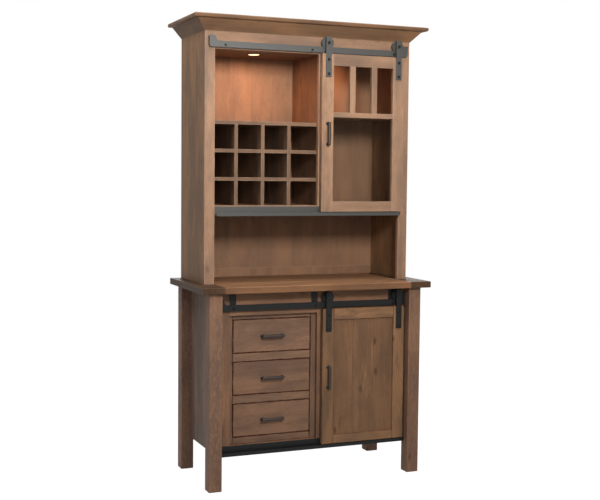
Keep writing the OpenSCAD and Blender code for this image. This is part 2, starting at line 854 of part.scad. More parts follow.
// Lights let into the deck
module light_housings()
    color(steel_grey)
        for (x = [light_left_x, light_right_x])
            translate([x, hutch_face_y + light_y, deck_z])
                difference() {
                    union() {
                        translate([0, 0, -light_trim_t])
                            cylinder(d = light_trim_d, h = light_trim_t);
                        cylinder(d = light_body_d, h = light_body_h);
                    }
                    translate([0, 0, -light_trim_t - cut])
                        cylinder(d = light_lens_d + fit, h = light_trim_t + cut);
                }

module light_lenses()
    color("ivory")
        for (x = [light_left_x, light_right_x])
            translate([x, hutch_face_y + light_y, deck_z - light_trim_t])
                cylinder(d = light_lens_d, h = light_trim_t);

// Centre lines of a door's two hangers
function hanger_x(door_x) = [door_x + hanger_inset, door_x + door_w - hanger_inset];

module hanger_screw_bores(door_x, face_y, z1)
    for (x = hanger_x(door_x))
        for (drop = hanger_screw_z)
            bar_y(x, face_y - door_front - strap_t - cut, face_y - door_front + screw_depth + fit,
                z1 - drop, screw_d + 2 * fit);

// Base door
module base_door_frame() {
    x = [base_door_x, base_door_x + door_w];
    y = [base_face_y - door_front, base_face_y - door_back];
    z = [base_door_z0, base_door_z1];
    clear_x = [x[0] + door_stile_w, x[1] - door_stile_w];
    rail_x = [clear_x[0] + seam, clear_x[1] - seam];
    color(oak_front)
        difference() {
            union() {
                board([x[0], clear_x[0]], y, z);
                board([clear_x[1], x[1]], y, z);
                board(rail_x, y, [z[1] - base_door_head, z[1]]);
                board(rail_x, y, [z[0], z[0] + base_door_foot]);
            }
            board([clear_x[0] - groove, clear_x[1] + groove],
                [y[0] + door_panel_inset, y[0] + door_panel_inset + door_panel_t],
                [z[0] + base_door_foot - groove, z[1] - base_door_head + groove]);
            hanger_screw_bores(base_door_x, base_face_y, base_door_z1);
        }
}

module base_door_panel() {
    y = base_face_y - door_front + door_panel_inset;
    color(oak_front)
        board([base_door_x + door_stile_w - groove + fit,
                base_door_x + door_w - door_stile_w + groove - fit],
            [y, y + door_panel_t],
            [base_door_z0 + base_door_foot - groove, base_door_z1 - base_door_head + groove - fit]);
}

// Hanger straps of one door
module hangers(door_x, face_y, z1, paint)
    color(paint)
        difference() {
            for (x = hanger_x(door_x))
                board([x - strap_w / 2, x + strap_w / 2],
                    [face_y - door_front - strap_t, face_y - door_front],
                    [z1 - strap_lap, z1 + door_head_gap + axle_rise + wheel_d / 2]);
            hanger_screw_bores(door_x, face_y, z1);
            for (x = hanger_x(door_x))
                bar_y(x, face_y - door_front - strap_t - cut, face_y - door_front + cut,
                    z1 + door_head_gap + axle_rise, axle_d + 2 * fit);
        }

module base_door_hangers() hangers(base_door_x, base_face_y, base_door_z1, steel_dark);

module glass_door_hangers() hangers(glass_door_x, hutch_face_y, glass_door_z1, steel_grey);

// A screw with a round head, its tip towards +Y and its head's seat at y
module screw(x, y, z) {
    bar_y(x, y - strap_t, y + screw_depth, z, screw_d);
    translate([x, y - strap_t, z]) rotate([90, 0, 0])
        rotate_extrude()
            polygon([[0, 0], [screw_head_d / 2, 0], [screw_head_d / 2, screw_head_rim],
                [screw_head_d / 2 - 2, screw_head_h - 1], [screw_head_d / 4, screw_head_h - 0.2],
                [0, screw_head_h]]);
}

// An axle bolt through the strap, with its spacer in front of the wheel and its nut behind
module axle(x, face_y, z) {
    strap_y = face_y - door_front;
    nut_y = face_y - wheel_back + wheel_side_gap;
    bar_y(x, strap_y - strap_t, nut_y + axle_nut_t, z, axle_d);
    hex_y(x, strap_y - strap_t - axle_head_t, strap_y - strap_t, z, axle_head_d);
    difference() {
        bar_y(x, strap_y, face_y - wheel_front - wheel_side_gap, z, axle_collar_d);
        bar_y(x, strap_y - cut, face_y - wheel_front, z, axle_d + fit);
    }
    difference() {
        hex_y(x, nut_y, nut_y + axle_nut_t, z, axle_collar_d);
        bar_y(x, nut_y - cut, nut_y + axle_nut_t + cut, z, axle_d + fit);
    }
}

// Block under a door that runs in the floor guide
module guide_block(x, face_y, z0) {
    mid = face_y - (door_front - guide_lip_inset) / 2;
    board([x - guide_block_l / 2, x + guide_block_l / 2],
        [mid - guide_block_t / 2, mid + guide_block_t / 2],
        [z0 - door_foot_gap - guide_lip_h + guide_t + guide_block_gap, z0]);
}

module door_fasteners(door_x, face_y, z0, z1)
    color(steel_dark)
        for (x = hanger_x(door_x)) {
            for (drop = hanger_screw_z)
                screw(x, face_y - door_front, z1 - drop);
            axle(x, face_y, z1 + door_head_gap + axle_rise);
            guide_block(x, face_y, z0);
        }

module base_door_fasteners()
    door_fasteners(base_door_x, base_face_y, base_door_z0, base_door_z1);

module glass_door_fasteners()
    door_fasteners(glass_door_x, hutch_face_y, glass_door_z0, glass_door_z1);

// A grooved wheel on the track
module wheel(x, face_y, z, paint) {
    r = wheel_d / 2;
    rt = tread_d / 2;
    g = wheel_groove_w / 2;
    t = wheel_t / 2;
    color(paint)
        translate([x, face_y - track_gap - track_t / 2, z]) rotate([90, 0, 0])
            rotate_extrude()
                polygon([[(axle_d + axle_play) / 2, -t], [r, -t], [r, -g], [rt, -g],
                    [rt, g], [r, g], [r, t], [(axle_d + axle_play) / 2, t]]);
}

module base_wheel(i)
    wheel(hanger_x(base_door_x)[i], base_face_y, base_track_z + axle_rise, steel_dark);

module glass_wheel(i)
    wheel(hanger_x(glass_door_x)[i], hutch_face_y, hutch_track_z + axle_rise, steel_grey);

module base_wheel_left() base_wheel(0);

module base_wheel_right() base_wheel(1);

module glass_wheel_left() glass_wheel(0);

module glass_wheel_right() glass_wheel(1);

// Clear openings of the glass door: three upper lights, then the lower one
lites = concat(
    [for (i = [0:lite_n - 1])
        [glass_clear_x[0] + i * (lite_w + muntin_w), glass_clear_x[0] + i * (lite_w + muntin_w) + lite_w,
            glass_mid_z1, glass_door_z1 - glass_door_head]],
    [[glass_clear_x[0], glass_clear_x[1], glass_door_z0 + glass_door_foot, glass_mid_z0]]);

// The space that a pane and its grooves take, made smaller by play
module pane(lite, play) {
    y = hutch_face_y - door_front + glass_inset;
    board([lite[0] - groove + play, lite[1] + groove - play], [y, y + glass_t],
        [lite[2] - groove, lite[3] + groove - play]);
}

module glass_door_frame() {
    x = [glass_door_x, glass_door_x + door_w];
    y = [hutch_face_y - door_front, hutch_face_y - door_back];
    rail_x = [glass_clear_x[0] + seam, glass_clear_x[1] - seam];
    color(oak_hutch)
        difference() {
            union() {
                board([x[0], glass_clear_x[0]], y, [glass_door_z0, glass_door_z1]);
                board([glass_clear_x[1], x[1]], y, [glass_door_z0, glass_door_z1]);
                board(rail_x, y, [glass_door_z1 - glass_door_head, glass_door_z1]);
                board(rail_x, y, [glass_mid_z0, glass_mid_z1]);
                board(rail_x, y, [glass_door_z0, glass_door_z0 + glass_door_foot]);
            }
            for (lite = lites) pane(lite, 0);
            hanger_screw_bores(glass_door_x, hutch_face_y, glass_door_z1);
        }
}

module glass_door_muntins()
    color(oak_hutch)
        difference() {
            for (i = [1:lite_n - 1]) {
                x = glass_clear_x[0] + i * lite_w + (i - 1) * muntin_w;
                board([x, x + muntin_w], [hutch_face_y - door_front, hutch_face_y - door_back],
                    [glass_mid_z1, glass_door_z1 - glass_door_head]);
            }
            for (lite = lites) pane(lite, 0);
        }

module glass_panes()
    color([0.8, 0.9, 0.9, 0.4])
        for (lite = lites) pane(lite, fit);

// A bar pull along Z, centred on the origin, its posts' roses against the plane y = 0
module pull() {
    half_l = (pull_span + pull_bar_w) / 2;
    color(bronze) {
        for (z = [-1, 1] * pull_span / 2) {
            bar_y(0, -pull_out + pull_bar_t + seam, 0, z, pull_post_d);
            bar_y(0, -pull_rose_t, 0, z, pull_rose_d);
        }
        intersection() {
            translate([0, 0, -half_l]) linear_extrude(2 * half_l) pull_section();
            rotate([0, 90, 0]) linear_extrude(pull_bar_w, center = true) pull_side(half_l);
        }
    }
}

// The bar seen from the side, its front corners turned back
module pull_side(half_l) {
    r = min(pull_end_r, pull_bar_t);
    translate([-half_l, -pull_out + r]) square([2 * half_l, r]);
    translate([-half_l + r, -pull_out]) square([2 * (half_l - r), 2 * r]);
    for (s = [-1, 1]) translate([s * (half_l - r), -pull_out + r]) circle(r);
}

// The bar's section: flat at the back, rounded at the front edges
module pull_section() {
    w = pull_bar_w / 2;
    r = pull_bar_r;
    translate([-w, -pull_out + r]) square([pull_bar_w, pull_bar_t - r]);
    translate([-w + r, -pull_out]) square([pull_bar_w - 2 * r, pull_bar_t]);
    for (s = [-1, 1]) translate([s * (w - r), -pull_out + r]) circle(r);
}

module base_door_pull()
    translate([base_door_x + door_stile_w / 2, base_face_y - door_front,
        base_door_z0 + base_pull_z]) pull();

module glass_door_pull()
    translate([glass_door_x + door_stile_w / 2, hutch_face_y - door_front,
        glass_door_z0 + glass_pull_z]) pull();

// Drawers, counted from the top
module drawer_front(i)
    color(oak_front)
        board([bay_l + drawer_reveal, bay_r - drawer_reveal], [base_in_y, box_front_y],
            [drawer_z(i) + drawer_reveal, drawer_z(i) + drawer_open_h - drawer_reveal]);

module drawer_box(i) {
    z = [drawer_z(i) + drawer_lift, drawer_z(i) + drawer_lift + drawer_box_h];
    y = [box_front_y, box_back_y];
    in_x = [box_l + drawer_wall, box_r - drawer_wall];
    end_x = [in_x[0] + seam, in_x[1] - seam];
    floor_z = [z[0] + box_floor_z, z[0] + box_floor_z + drawer_floor_t];
    color(oak_inside) {
        difference() {
            union() {
                board([box_l, in_x[0]], y, z);
                board([in_x[1], box_r], y, z);
                board(end_x, [y[0], y[0] + drawer_wall], z);
                board(end_x, [y[1] - drawer_wall, y[1]], z);
            }
            drawer_floor(in_x, y, floor_z, 0);
        }
        drawer_floor(in_x, y, floor_z, fit);
    }
}

// The drawer box's bottom in its grooves, made smaller by play
module drawer_floor(in_x, y, z, play)
    board([in_x[0] - box_groove + play, in_x[1] + box_groove - play],
        [y[0] + drawer_wall - box_groove + play, y[1] - drawer_wall + box_groove - play],
        [z[0] + play / 2, z[1] - play / 2]);

module drawer_pull(i)
    translate([(bay_l + bay_r) / 2, base_in_y,
        drawer_z(i) + drawer_open_h / 2 - drawer_pull_drop])
        rotate([0, 90, 0]) pull();

legs_front();
legs_back();
leg_glides();
base_side_left();
base_side_right();
base_back();
base_bottom();
base_divider();
base_face_frame();
drawer_frame();
drawer_runners();
base_shelf();
base_top();
breadboard_ends();
base_track();
base_track_brackets();
base_guide();
hutch_side_left();
hutch_side_right();
hutch_face_frame();
light_deck();
hutch_divider();
hutch_floor();
hutch_back();
rack_shelf();
rack_uprights();
rack_slats();
display_shelf();
crown_moulding();
crown_cap();
hutch_track();
hutch_guide();
light_housings();
light_lenses();
track_bolts();
shelf_pins();
base_door_frame();
base_door_panel();
base_door_hangers();
base_door_pull();
base_door_fasteners();
base_wheel_left();
base_wheel_right();
glass_door_frame();
glass_door_muntins();
glass_panes();
glass_door_hangers();
glass_door_pull();
glass_door_fasteners();
glass_wheel_left();
glass_wheel_right();
drawer_front(1);  // drawer_front_1
drawer_front(2);  // drawer_front_2
drawer_front(3);  // drawer_front_3
drawer_box(1);  // drawer_box_1
drawer_box(2);  // drawer_box_2
drawer_box(3);  // drawer_box_3
drawer_pull(1);  // drawer_pull_1
drawer_pull(2);  // drawer_pull_2
drawer_pull(3);  // drawer_pull_3
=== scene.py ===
"""Woodwork, steelwork, glass and stage of the hutch cabinet, laid out as a Blender add-on."""

import json
import math
import random
import zlib

import bmesh
import bpy
from bpy.props import FloatProperty, FloatVectorProperty, PointerProperty
from mathutils import Matrix, Vector

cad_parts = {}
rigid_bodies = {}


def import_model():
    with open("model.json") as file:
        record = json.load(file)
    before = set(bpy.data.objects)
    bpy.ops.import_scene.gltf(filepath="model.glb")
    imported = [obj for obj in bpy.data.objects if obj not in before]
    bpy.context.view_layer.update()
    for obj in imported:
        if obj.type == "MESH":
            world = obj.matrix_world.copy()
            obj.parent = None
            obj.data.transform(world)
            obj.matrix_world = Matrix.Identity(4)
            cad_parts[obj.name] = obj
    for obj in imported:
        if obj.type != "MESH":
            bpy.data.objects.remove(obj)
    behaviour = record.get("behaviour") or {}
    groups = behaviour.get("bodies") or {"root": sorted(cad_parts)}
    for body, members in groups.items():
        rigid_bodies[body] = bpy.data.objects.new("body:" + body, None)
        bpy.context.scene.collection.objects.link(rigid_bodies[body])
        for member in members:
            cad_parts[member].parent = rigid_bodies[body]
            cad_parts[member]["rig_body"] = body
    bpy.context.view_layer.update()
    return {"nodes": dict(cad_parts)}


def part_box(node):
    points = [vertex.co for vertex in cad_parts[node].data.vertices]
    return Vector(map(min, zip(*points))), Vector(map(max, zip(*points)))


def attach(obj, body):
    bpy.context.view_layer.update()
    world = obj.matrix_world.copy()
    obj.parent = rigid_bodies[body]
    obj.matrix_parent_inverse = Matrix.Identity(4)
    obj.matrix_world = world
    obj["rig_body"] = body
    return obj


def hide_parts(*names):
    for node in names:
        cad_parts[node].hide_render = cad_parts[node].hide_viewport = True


bl_info = {
    "name": "Hutch cabinet",
    "version": (1, 0, 0),
    "blender": (4, 5, 0),
    "location": "3D View > Sidebar > Cabinet",
    "description": "Boards, steelwork, pulls, glass and stage of a hutch cabinet",
    "category": "Object",
}

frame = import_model()
NODES = frame["nodes"]


def linear(red, green, blue):
    """A colour as a screen shows it, 0 to 255, as linear values."""
    shares = (red / 255, green / 255, blue / 255)
    return tuple(c / 12.92 if c <= 0.04045 else ((c + 0.055) / 1.055) ** 2.4 for c in shares)


def colour(name, description, red, green, blue):
    return FloatVectorProperty(
        name=name, description=description, subtype="COLOR", size=3, min=0, max=1,
        default=linear(red, green, blue))


def stain(name, where, red, green, blue):
    return colour(name, "Stain of the " + where, red, green, blue)


def length(name, description, default, high):
    return FloatProperty(
        name=name, description=description, default=default, min=0, max=high,
        unit="LENGTH", precision=5)


def share(name, description, default):
    return FloatProperty(name=name, description=description, default=default, min=0, max=1)


def power(name, description, default):
    return FloatProperty(name=name, description=description, default=default, min=0)


# Sizes and colours

class WoodSettings(bpy.types.PropertyGroup):
    """Stains and edges of the boards."""

    base: stain("Base", "front legs", 115, 89, 72)
    # The back legs take a lighter copy of the leg stain: painted light on the back legs
    back_leg: stain("Back legs", "back legs", 130, 103, 86)
    base_side: stain("Base sides", "base's side panels", 128, 109, 98)
    front: stain("Base front", "base's face frame", 115, 88, 69)
    inset: stain("Drawer frame", "frame round the drawers", 111, 88, 72)
    drawer: stain("Drawer fronts", "drawer fronts", 115, 90, 73)
    door: stain("Base door", "base's door frame", 118, 91, 68)
    panel: stain("Door panel", "base door's panel", 109, 83, 62)
    counter: stain("Counter", "counter", 128, 95, 69)
    counter_end: stain("Counter ends", "counter's cross boards", 70, 51, 36)
    hutch: stain("Hutch", "hutch's face frame and door", 135, 109, 89)
    # The hutch's sides take a darker, warmer copy of the hutch's stain: partly their own tone,
    # partly painted shade
    hutch_side: stain("Hutch sides", "hutch's sides", 130, 100, 72)
    crown: stain("Crown", "crown", 119, 91, 67)
    inside: stain("Inside", "boards inside", 129, 100, 78)
    # The rack's stain is darker than the inside boards' stain: partly painted shade in the bottle
    # cells
    rack: stain("Rack", "bottle rack", 119, 95, 76)
    board_edge: length("Board edge", "Radius of a board's edges", 0.001, 0.004)
    rack_edge: length("Rack edge", "Radius of the thin rack boards' edges", 0.0006, 0.004)
    leg_edge: length("Leg edge", "Radius of a leg's edges", 0.003, 0.008)
    front_edge: length("Drawer front edge", "Radius of a drawer front's edges", 0.0008, 0.006)
    stave: length("Stave", "Width of the planks that wide panels are glued from", 0.105, 0.3)
    ring: length("Ring spacing", "Distance between two growth rings", 0.0052, 0.02)
    # Lightens a strip along the edges: partly wear, partly painted highlight
    wear: share("Edge wear", "How far the stain is rubbed from the edges", 0.3)
    # The rack's front edges are lightened far more than other edges: painted highlight where front
    # light falls
    wear_rack: share("Rack edge wear", "How far the rack's front edges are rubbed", 0.9)
    gloss: share("Roughness", "Roughness of the oiled surface", 0.54)


class MetalSettings(bpy.types.PropertyGroup):
    """Coats and edges of the steelwork and the wheels' turned shape."""

    dark: colour("Dark steel", "Powder coat of the base's steelwork", 15, 16, 16)
    grey: colour("Grey steel", "Powder coat of the hutch's steelwork", 47, 46, 43)
    plastic: colour("Glides", "Plastic of the glides", 42, 42, 44)
    edge: length("Steel edge", "Radius of the steelwork's edges", 0.0006, 0.002)
    corner: length("Steel corner", "Radius of the straps' and stops' upper corners", 0.004, 0.008)
    hub_diameter: length("Hub diameter", "Diameter of a wheel's hub", 0.022, 0.03)
    web_recess: length("Web recess", "How far a wheel's side is turned back", 0.0008, 0.0015)


class PullSettings(bpy.types.PropertyGroup):
    """Shape and finish of the pulls."""

    bronze: colour("Bronze", "Oil-rubbed bronze of the pulls", 50, 42, 38)
    span: length("Span", "Distance between a pull's posts", 0.096, 0.2)
    reach: length("Reach", "How far a pull stands out", 0.029, 0.06)
    bar_width: length("Bar width", "Height of a pull's bar across its length", 0.014, 0.02)
    bar_depth: length("Bar depth", "Thickness of a pull's bar from front to back", 0.009, 0.02)
    end_radius: length("End radius", "Radius in which the bar turns back at its ends", 0.0065, 0.02)
    arch: length("Arch", "How far the bar's middle stands before its ends", 0.0012, 0.01)
    post_diameter: length("Post diameter", "Diameter of a pull's posts", 0.009, 0.02)
    rose_diameter: length("Rose diameter", "Diameter of the rose under a post", 0.018, 0.04)
    rose_height: length("Rose height", "Height of that rose", 0.003, 0.008)


class GlassSettings(bpy.types.PropertyGroup):
    """Glass of the door and the two lights in the hutch."""

    glass: colour("Glass", "Tint of the glass", 250, 251, 250)
    lens: colour("Lens", "Colour of the lenses' light", 255, 214, 160)
    lens_strength: power("Lens strength", "Strength of the lenses' own light", 4.0)
    glow: colour("Glow", "Colour of the light that falls into the hutch", 255, 192, 146)
    glow_power: power("Glow power", "Power of the lamp under the left lens", 2.4)
    glow_right: share("Right glow", "Power of the right lamp as a share of the left one's", 0.52)
    glow_lean: FloatProperty(
        name="Right lean", default=38.0, min=0, max=60,
        description="Turn of the right lamp towards the back and the divider, in degrees")


class StageSettings(bpy.types.PropertyGroup):
    """Floor, lamps and camera."""

    floor: colour("Floor", "Colour of the floor", 180, 180, 180)
    key_power: power("Key power", "Power of the large lamp in front", 42.0)
    fill_power: power("Fill power", "Power of the wide low lamp in front", 34.0)
    side_power: power("Side power", "Power of the lamp at the left", 22.0)
    top_power: power("Top power", "Power of the lamp above", 60.0)
    back_power: power("Back power", "Power of the lamp behind", 95.0)
    ambient: share("Ambient", "Brightness of the room on matt surfaces", 0.2)
    camera_place: FloatVectorProperty(
        name="Camera", description="Place of the camera", subtype="XYZ", unit="LENGTH",
        default=(-2.00536, -4.81861, 1.41888))
    camera_turn: FloatVectorProperty(
        name="Camera turn", description="Heading, pitch and roll of the camera",
        subtype="EULER", unit="ROTATION",
        default=(math.radians(-22.584), math.radians(86.163), math.radians(0.552)))
    lens: FloatProperty(
        name="Lens", description="Focal length of the camera in millimetres", default=65.65, min=10)


# Node trees

class Bench:
    """Puts nodes into one node tree, laid out in rows, and joins them."""

    row_length = 12
    column_step = 220
    row_step = 260

    def __init__(self, tree):
        self.tree = tree
        self.count = 0

    def add(self, kind, feeds=None, **choices):
        """A new node with these choices and inputs; a shader node's kind goes without prefix."""
        node = self.tree.nodes.new(kind if "Node" in kind else "ShaderNode" + kind)
        row, column = divmod(self.count, self.row_length)
        node.location = (self.column_step * column, -self.row_step * row)
        self.count += 1
        for name, value in choices.items():
            setattr(node, name, value)
        for name, value in (feeds or {}).items():
            self.feed(node.inputs[name], value)
        return node

    def get(self, kind, feeds, **choices):
        """The first output of a new node."""
        return self.add(kind, feeds, **choices).outputs[0]

    def feed(self, socket, value):
        if isinstance(value, bpy.types.NodeSocket):
            self.tree.links.new(value, socket)
        else:
            socket.default_value = value

    def group(self, name, make, feeds):
        """The outputs of a shader group that is made on its first use."""
        return self.add("Group", feeds, node_tree=once(name, make)).outputs

    def math(self, operation, a, b=0.0):
        return self.get("Math", {0: a, 1: b}, operation=operation)

    def plus(self, a, b):
        return self.math("ADD", a, b)

    def minus(self, a, b):
        return self.math("SUBTRACT", a, b)

    def times(self, a, b):
        return self.math("MULTIPLY", a, b)

    def vector(self, operation, a, b=(0.0, 0.0, 0.0)):
        return self.get("VectorMath", {0: a, 1: b}, operation=operation)

    def scatter(self, chance, reach):
        """A random colour as a move of up to half the reach each way."""
        return self.vector("MULTIPLY", self.vector("SUBTRACT", chance, (0.5, 0.5, 0.5)), reach)

    def split(self, vector):
        return self.add("SeparateXYZ", {0: vector}).outputs

    def stack(self, x=0.0, y=0.0, z=0.0):
        return self.get("CombineXYZ", {0: x, 1: y, 2: z})

    def step(self, value, low, high):
        """0 below low, 1 above high, and smooth between them."""
        return self.get("MapRange", {
            "Value": value, "From Min": low, "From Max": high}, interpolation_type="SMOOTHSTEP")

    def noise(self, vector, scale, detail=2.0, roughness=0.5, output="Fac"):
        return self.add("TexNoise", {
            "Vector": vector, "Scale": scale, "Detail": detail,
            "Roughness": roughness}).outputs[output]

    def grained(self, grain, along, across, *looks, output="Fac"):
        """Noise with so many features in a metre along the grain, and so many across it."""
        stretched = self.vector("MULTIPLY", grain, (along, across, across))
        return self.noise(stretched, 1.0, *looks, output=output)

    def blend(self, factor, a, b, mode="MIX"):
        return self.add("Mix", {0: factor, 6: a, 7: b},
                        data_type="RGBA", blend_type=mode).outputs[2]

    def bump(self, height, strength, distance):
        return self.get("Bump", {
            "Strength": strength, "Distance": distance, "Height": height})

    def attribute(self, name):
        return self.add("Attribute", attribute_name=name).outputs

    def place(self):
        """Where a point lies in its object."""
        return self.add("TexCoord").outputs["Object"]

    def surface(self, shader):
        """Ends the material in this shader."""
        self.add("OutputMaterial", {"Surface": shader})


def rgba(shade, level=1.0):
    return tuple(min(1.0, c * level) for c in shade[:3]) + (1.0,)


def stained(shade, factors):
    """The shade with its red, green and blue each times a factor."""
    return rgba([c * factor for c, factor in zip(shade, factors)])


def new_group(name, inputs, outputs, kind="ShaderNodeTree"):
    """A new node group as its tree, its bench and its inputs, from the sockets of each kind."""
    tree = bpy.data.node_groups.new(name, kind)
    for way, sockets in (("INPUT", inputs), ("OUTPUT", outputs)):
        for what, labels in sockets.items():
            for label in labels.split(", "):
                tree.interface.new_socket(label, in_out=way, socket_type="NodeSocket" + what)
    bench = Bench(tree)
    return tree, bench, bench.add("NodeGroupInput").outputs


def once(name, make, *details, **choices):
    """The node tree or material of that name, made on its first use."""
    for store in (bpy.data.node_groups, bpy.data.materials):
        if name in store:
            return store[name]
    return make(name, *details, **choices)


# Marks in oak: features in a metre along the grain and across it, detail, roughness, and the
# values between which a mark rises from 0 to 1
OAK_NOISE = {
    "Pores": (42.0, 1500.0, 1.0, 0.5, 0.56, 0.68),
    "Streaks": (1.2, 48.0, 5.0, 0.66, 0.3, 0.7),
    "Clouds": (3.6, 11.0, 4.0, 0.55, 0.34, 0.66),
    "Smoke": (6.5, 22.0, 5.0, 0.6, 0.56, 0.76),
    "Flecks": (45.0, 170.0, 2.0, 0.55, 0.5, 0.66)}


def oak_figure(name):
    """Growth rings round a leaning heart, open pores, fibre, long streaks and small knots."""
    ring_drift = (0.0, 0.05, 0.05)  # metres along, across and towards the heart
    ring_waver = 1.6  # in rings
    late_rise, late_fall = (0.15, 0.8), (0.88, 1.0)  # shares of a ring
    pores_lost = 0.6  # in late wood
    fibre_in_streaks, fibre_height, late_height = 0.25, 0.3, -0.15
    knot_cells, knot_chance, knot_size = (7.0, 15.0, 15.0), 0.74, (0.02, 0.2)
    tree, b, given = new_group(
        name, {"Vector": "Grain", "Float": "Ring spacing, Lean"},
        {"Float": "Rings, Pores, Streaks, Clouds, Smoke, Flecks, Knots, Height"})
    grain = given["Grain"]
    swayed = b.vector("ADD", grain, b.scatter(
        b.grained(grain, 1.4, 3.5, output="Color"), ring_drift))
    along, across, deep = b.split(swayed)
    deep = b.plus(deep, b.times(along, given["Lean"]))
    radius = b.math("SQRT", b.plus(b.math("POWER", across, 2.0), b.math("POWER", deep, 2.0)))
    waver = b.grained(grain, 2.5, 55.0, 3.0)
    part = b.math("FRACT", b.plus(b.math("DIVIDE", radius, given["Ring spacing"]),
                                  b.times(waver, ring_waver)))
    late = b.times(b.step(part, *late_rise), b.minus(1.0, b.step(part, *late_fall)))
    found = {mark: b.step(b.grained(grain, *looks), low, high)
             for mark, (*looks, low, high) in OAK_NOISE.items()}
    pores = b.times(found["Pores"], b.minus(1.0, b.times(late, pores_lost)))
    fibre = b.grained(grain, 9.0, 420.0)
    streaks = b.plus(b.times(found["Streaks"], 1.0 - fibre_in_streaks),
                     b.times(fibre, fibre_in_streaks))
    height = b.minus(b.times(fibre, fibre_height), pores)
    height = b.minus(height, b.times(late, late_height))
    cells = b.add("TexVoronoi", {
        "Vector": b.vector("MULTIPLY", swayed, knot_cells), "Scale": 1.0}).outputs
    few = b.math("GREATER_THAN", b.split(cells["Color"])[0], knot_chance)
    knots = b.times(few, b.minus(1.0, b.step(cells["Distance"], *knot_size)))
    b.add("NodeGroupOutput", {**found, "Rings": late, "Pores": pores, "Streaks": streaks,
                              "Knots": knots, "Height": height})
    return tree


def glued_staves(name):
    """Parts a wide panel into planks, each with its own figure and tone."""
    margin = 0.001  # of a plank, to stay within the panel
    reach = (4.0, 0.3, 0.12)  # metres between the places of two planks in the tree
    joint = (0.0001, 0.0009)  # metres from the joint
    tree, b, given = new_group(
        name, {"Vector": "Grain, Place, Half size", "Float": "Seed, Stave width"},
        {"Vector": "Grain", "Float": "Tone, Joint"})
    across, half = b.split(given["Place"])[1], b.split(given["Half size"])[1]
    width = b.times(half, 2.0)
    planks = b.math("MAXIMUM", 1.0, b.math("ROUND", b.math("DIVIDE", width, given["Stave width"])))
    place = b.times(b.math("DIVIDE", b.plus(across, half), width), planks)
    place = b.math("MAXIMUM", margin, b.math("MINIMUM", place, b.minus(planks, margin)))
    key = b.stack(b.math("FLOOR", place), given["Seed"], planks)
    chance = b.add("TexWhiteNoise", {"Vector": key}, noise_dimensions="3D").outputs
    side = b.minus(0.5, b.math("ABSOLUTE", b.minus(b.math("FRACT", place), 0.5)))
    side = b.times(side, b.math("DIVIDE", width, planks))
    line = b.times(b.minus(1.0, b.step(side, *joint)), b.math("GREATER_THAN", planks, 1.5))
    b.add("NodeGroupOutput", {
        "Grain": b.vector("ADD", given["Grain"], b.scatter(chance["Color"], reach)),
        "Tone": chance["Value"], "Joint": line})
    return tree


# The strip carries wear, painted highlight and painted shade along the boards' edges
def edge_wear_and_light(name):
    """Marks a strip along a board's edges, wavering in width."""
    least = 0.0004  # metres of the edge strip on every edge
    tree, b, given = new_group(
        name, {"Vector": "Place, Half size", "Float": "Width"}, {"Float": "Worn, Dust"})
    place = given["Place"]
    x, y, z = b.split(b.vector("SUBTRACT", given["Half size"], b.vector("ABSOLUTE", place)))
    near = b.math("MAXIMUM", b.math("MINIMUM", x, y),
                  b.math("MINIMUM", b.math("MAXIMUM", x, y), z))
    patches = b.step(b.noise(place, 26.0, 4.0, 0.65), 0.3, 0.75)
    reach = b.plus(b.times(given["Width"], patches), least)
    b.add("NodeGroupOutput", {
        "Worn": b.minus(1.0, b.step(b.math("DIVIDE", near, reach), 0.2, 1.0)),
        "Dust": b.step(b.noise(place, 7.0, 3.0), 0.35, 0.75)})
    return tree


def coat_texture(name):
    """Orange-peel texture, thin spots and fine scratches of a coated metal."""
    thin_share, scratch_share, scratch_depth = 0.7, 0.3, 0.4
    tree, b, given = new_group(
        name, {"Vector": "Place", "Float": "Grain size"}, {"Float": "Speckle, Rubbed, Height"})
    place = given["Place"]
    peel = b.noise(place, b.math("DIVIDE", 1.0, given["Grain size"]))
    thin = b.step(b.noise(place, 38.0, 4.0, 0.6), 0.45, 0.75)
    scratch = b.step(b.grained(place, 25.0, 900.0, 1.0), 0.66, 0.75)
    b.add("NodeGroupOutput", {
        "Speckle": peel,
        "Rubbed": b.plus(b.times(thin, thin_share), b.times(scratch, scratch_share)),
        "Height": b.minus(peel, b.times(scratch, scratch_depth))})
    return tree


# Materials

def cleared(owner):
    """The bench of a material or world whose nodes are all taken off."""
    owner.use_nodes = True
    owner.node_tree.nodes.clear()
    return Bench(owner.node_tree)


def new_material(name):
    material = bpy.data.materials.new(name)
    return material, cleared(material)


# Finishes with darkened edges and how wide in metres: stain pooling and painted shade in the gaps
POOLED_AND_SHADED = {"drawer": 0.006, "inset": 0.006, "door": 0.0035}
# width of the lightened edge strip: partly wear, partly painted highlight
WORN_AND_LIT_WIDTH = 0.006
FLECKED = ("base", "back_leg", "counter_end")

# How strongly the figure shows where that isn't 1
LIVELY = {"panel": 1.4, "inside": 0.25, "rack": 0.6, "hutch": 0.85, "hutch_side": 0.65}

# Factors of the stain's red, green and blue
WARM = (1.32, 1.22, 1.12)
COOL = (0.73, 0.74, 0.79)
PORE = (0.34, 0.28, 0.25)
# colour of the darkened edges: stain pooling and painted shade in the gaps
POOL_AND_SHADE = (0.3, 0.09, 0.03)

# Marks over the stain: strength, whether that follows LIVELY, and factors of the stain
OAK_MARKS = (
    ("Smoke", 0.7, True, (0.5, 0.46, 0.47)),
    ("Flecks", 0.6, False, (1.5, 1.5, 1.5)),
    ("Rings", 0.34, True, (0.62, 0.56, 0.52)),
    ("Knots", 0.65, True, PORE),
    ("Pores", 0.5, False, PORE))


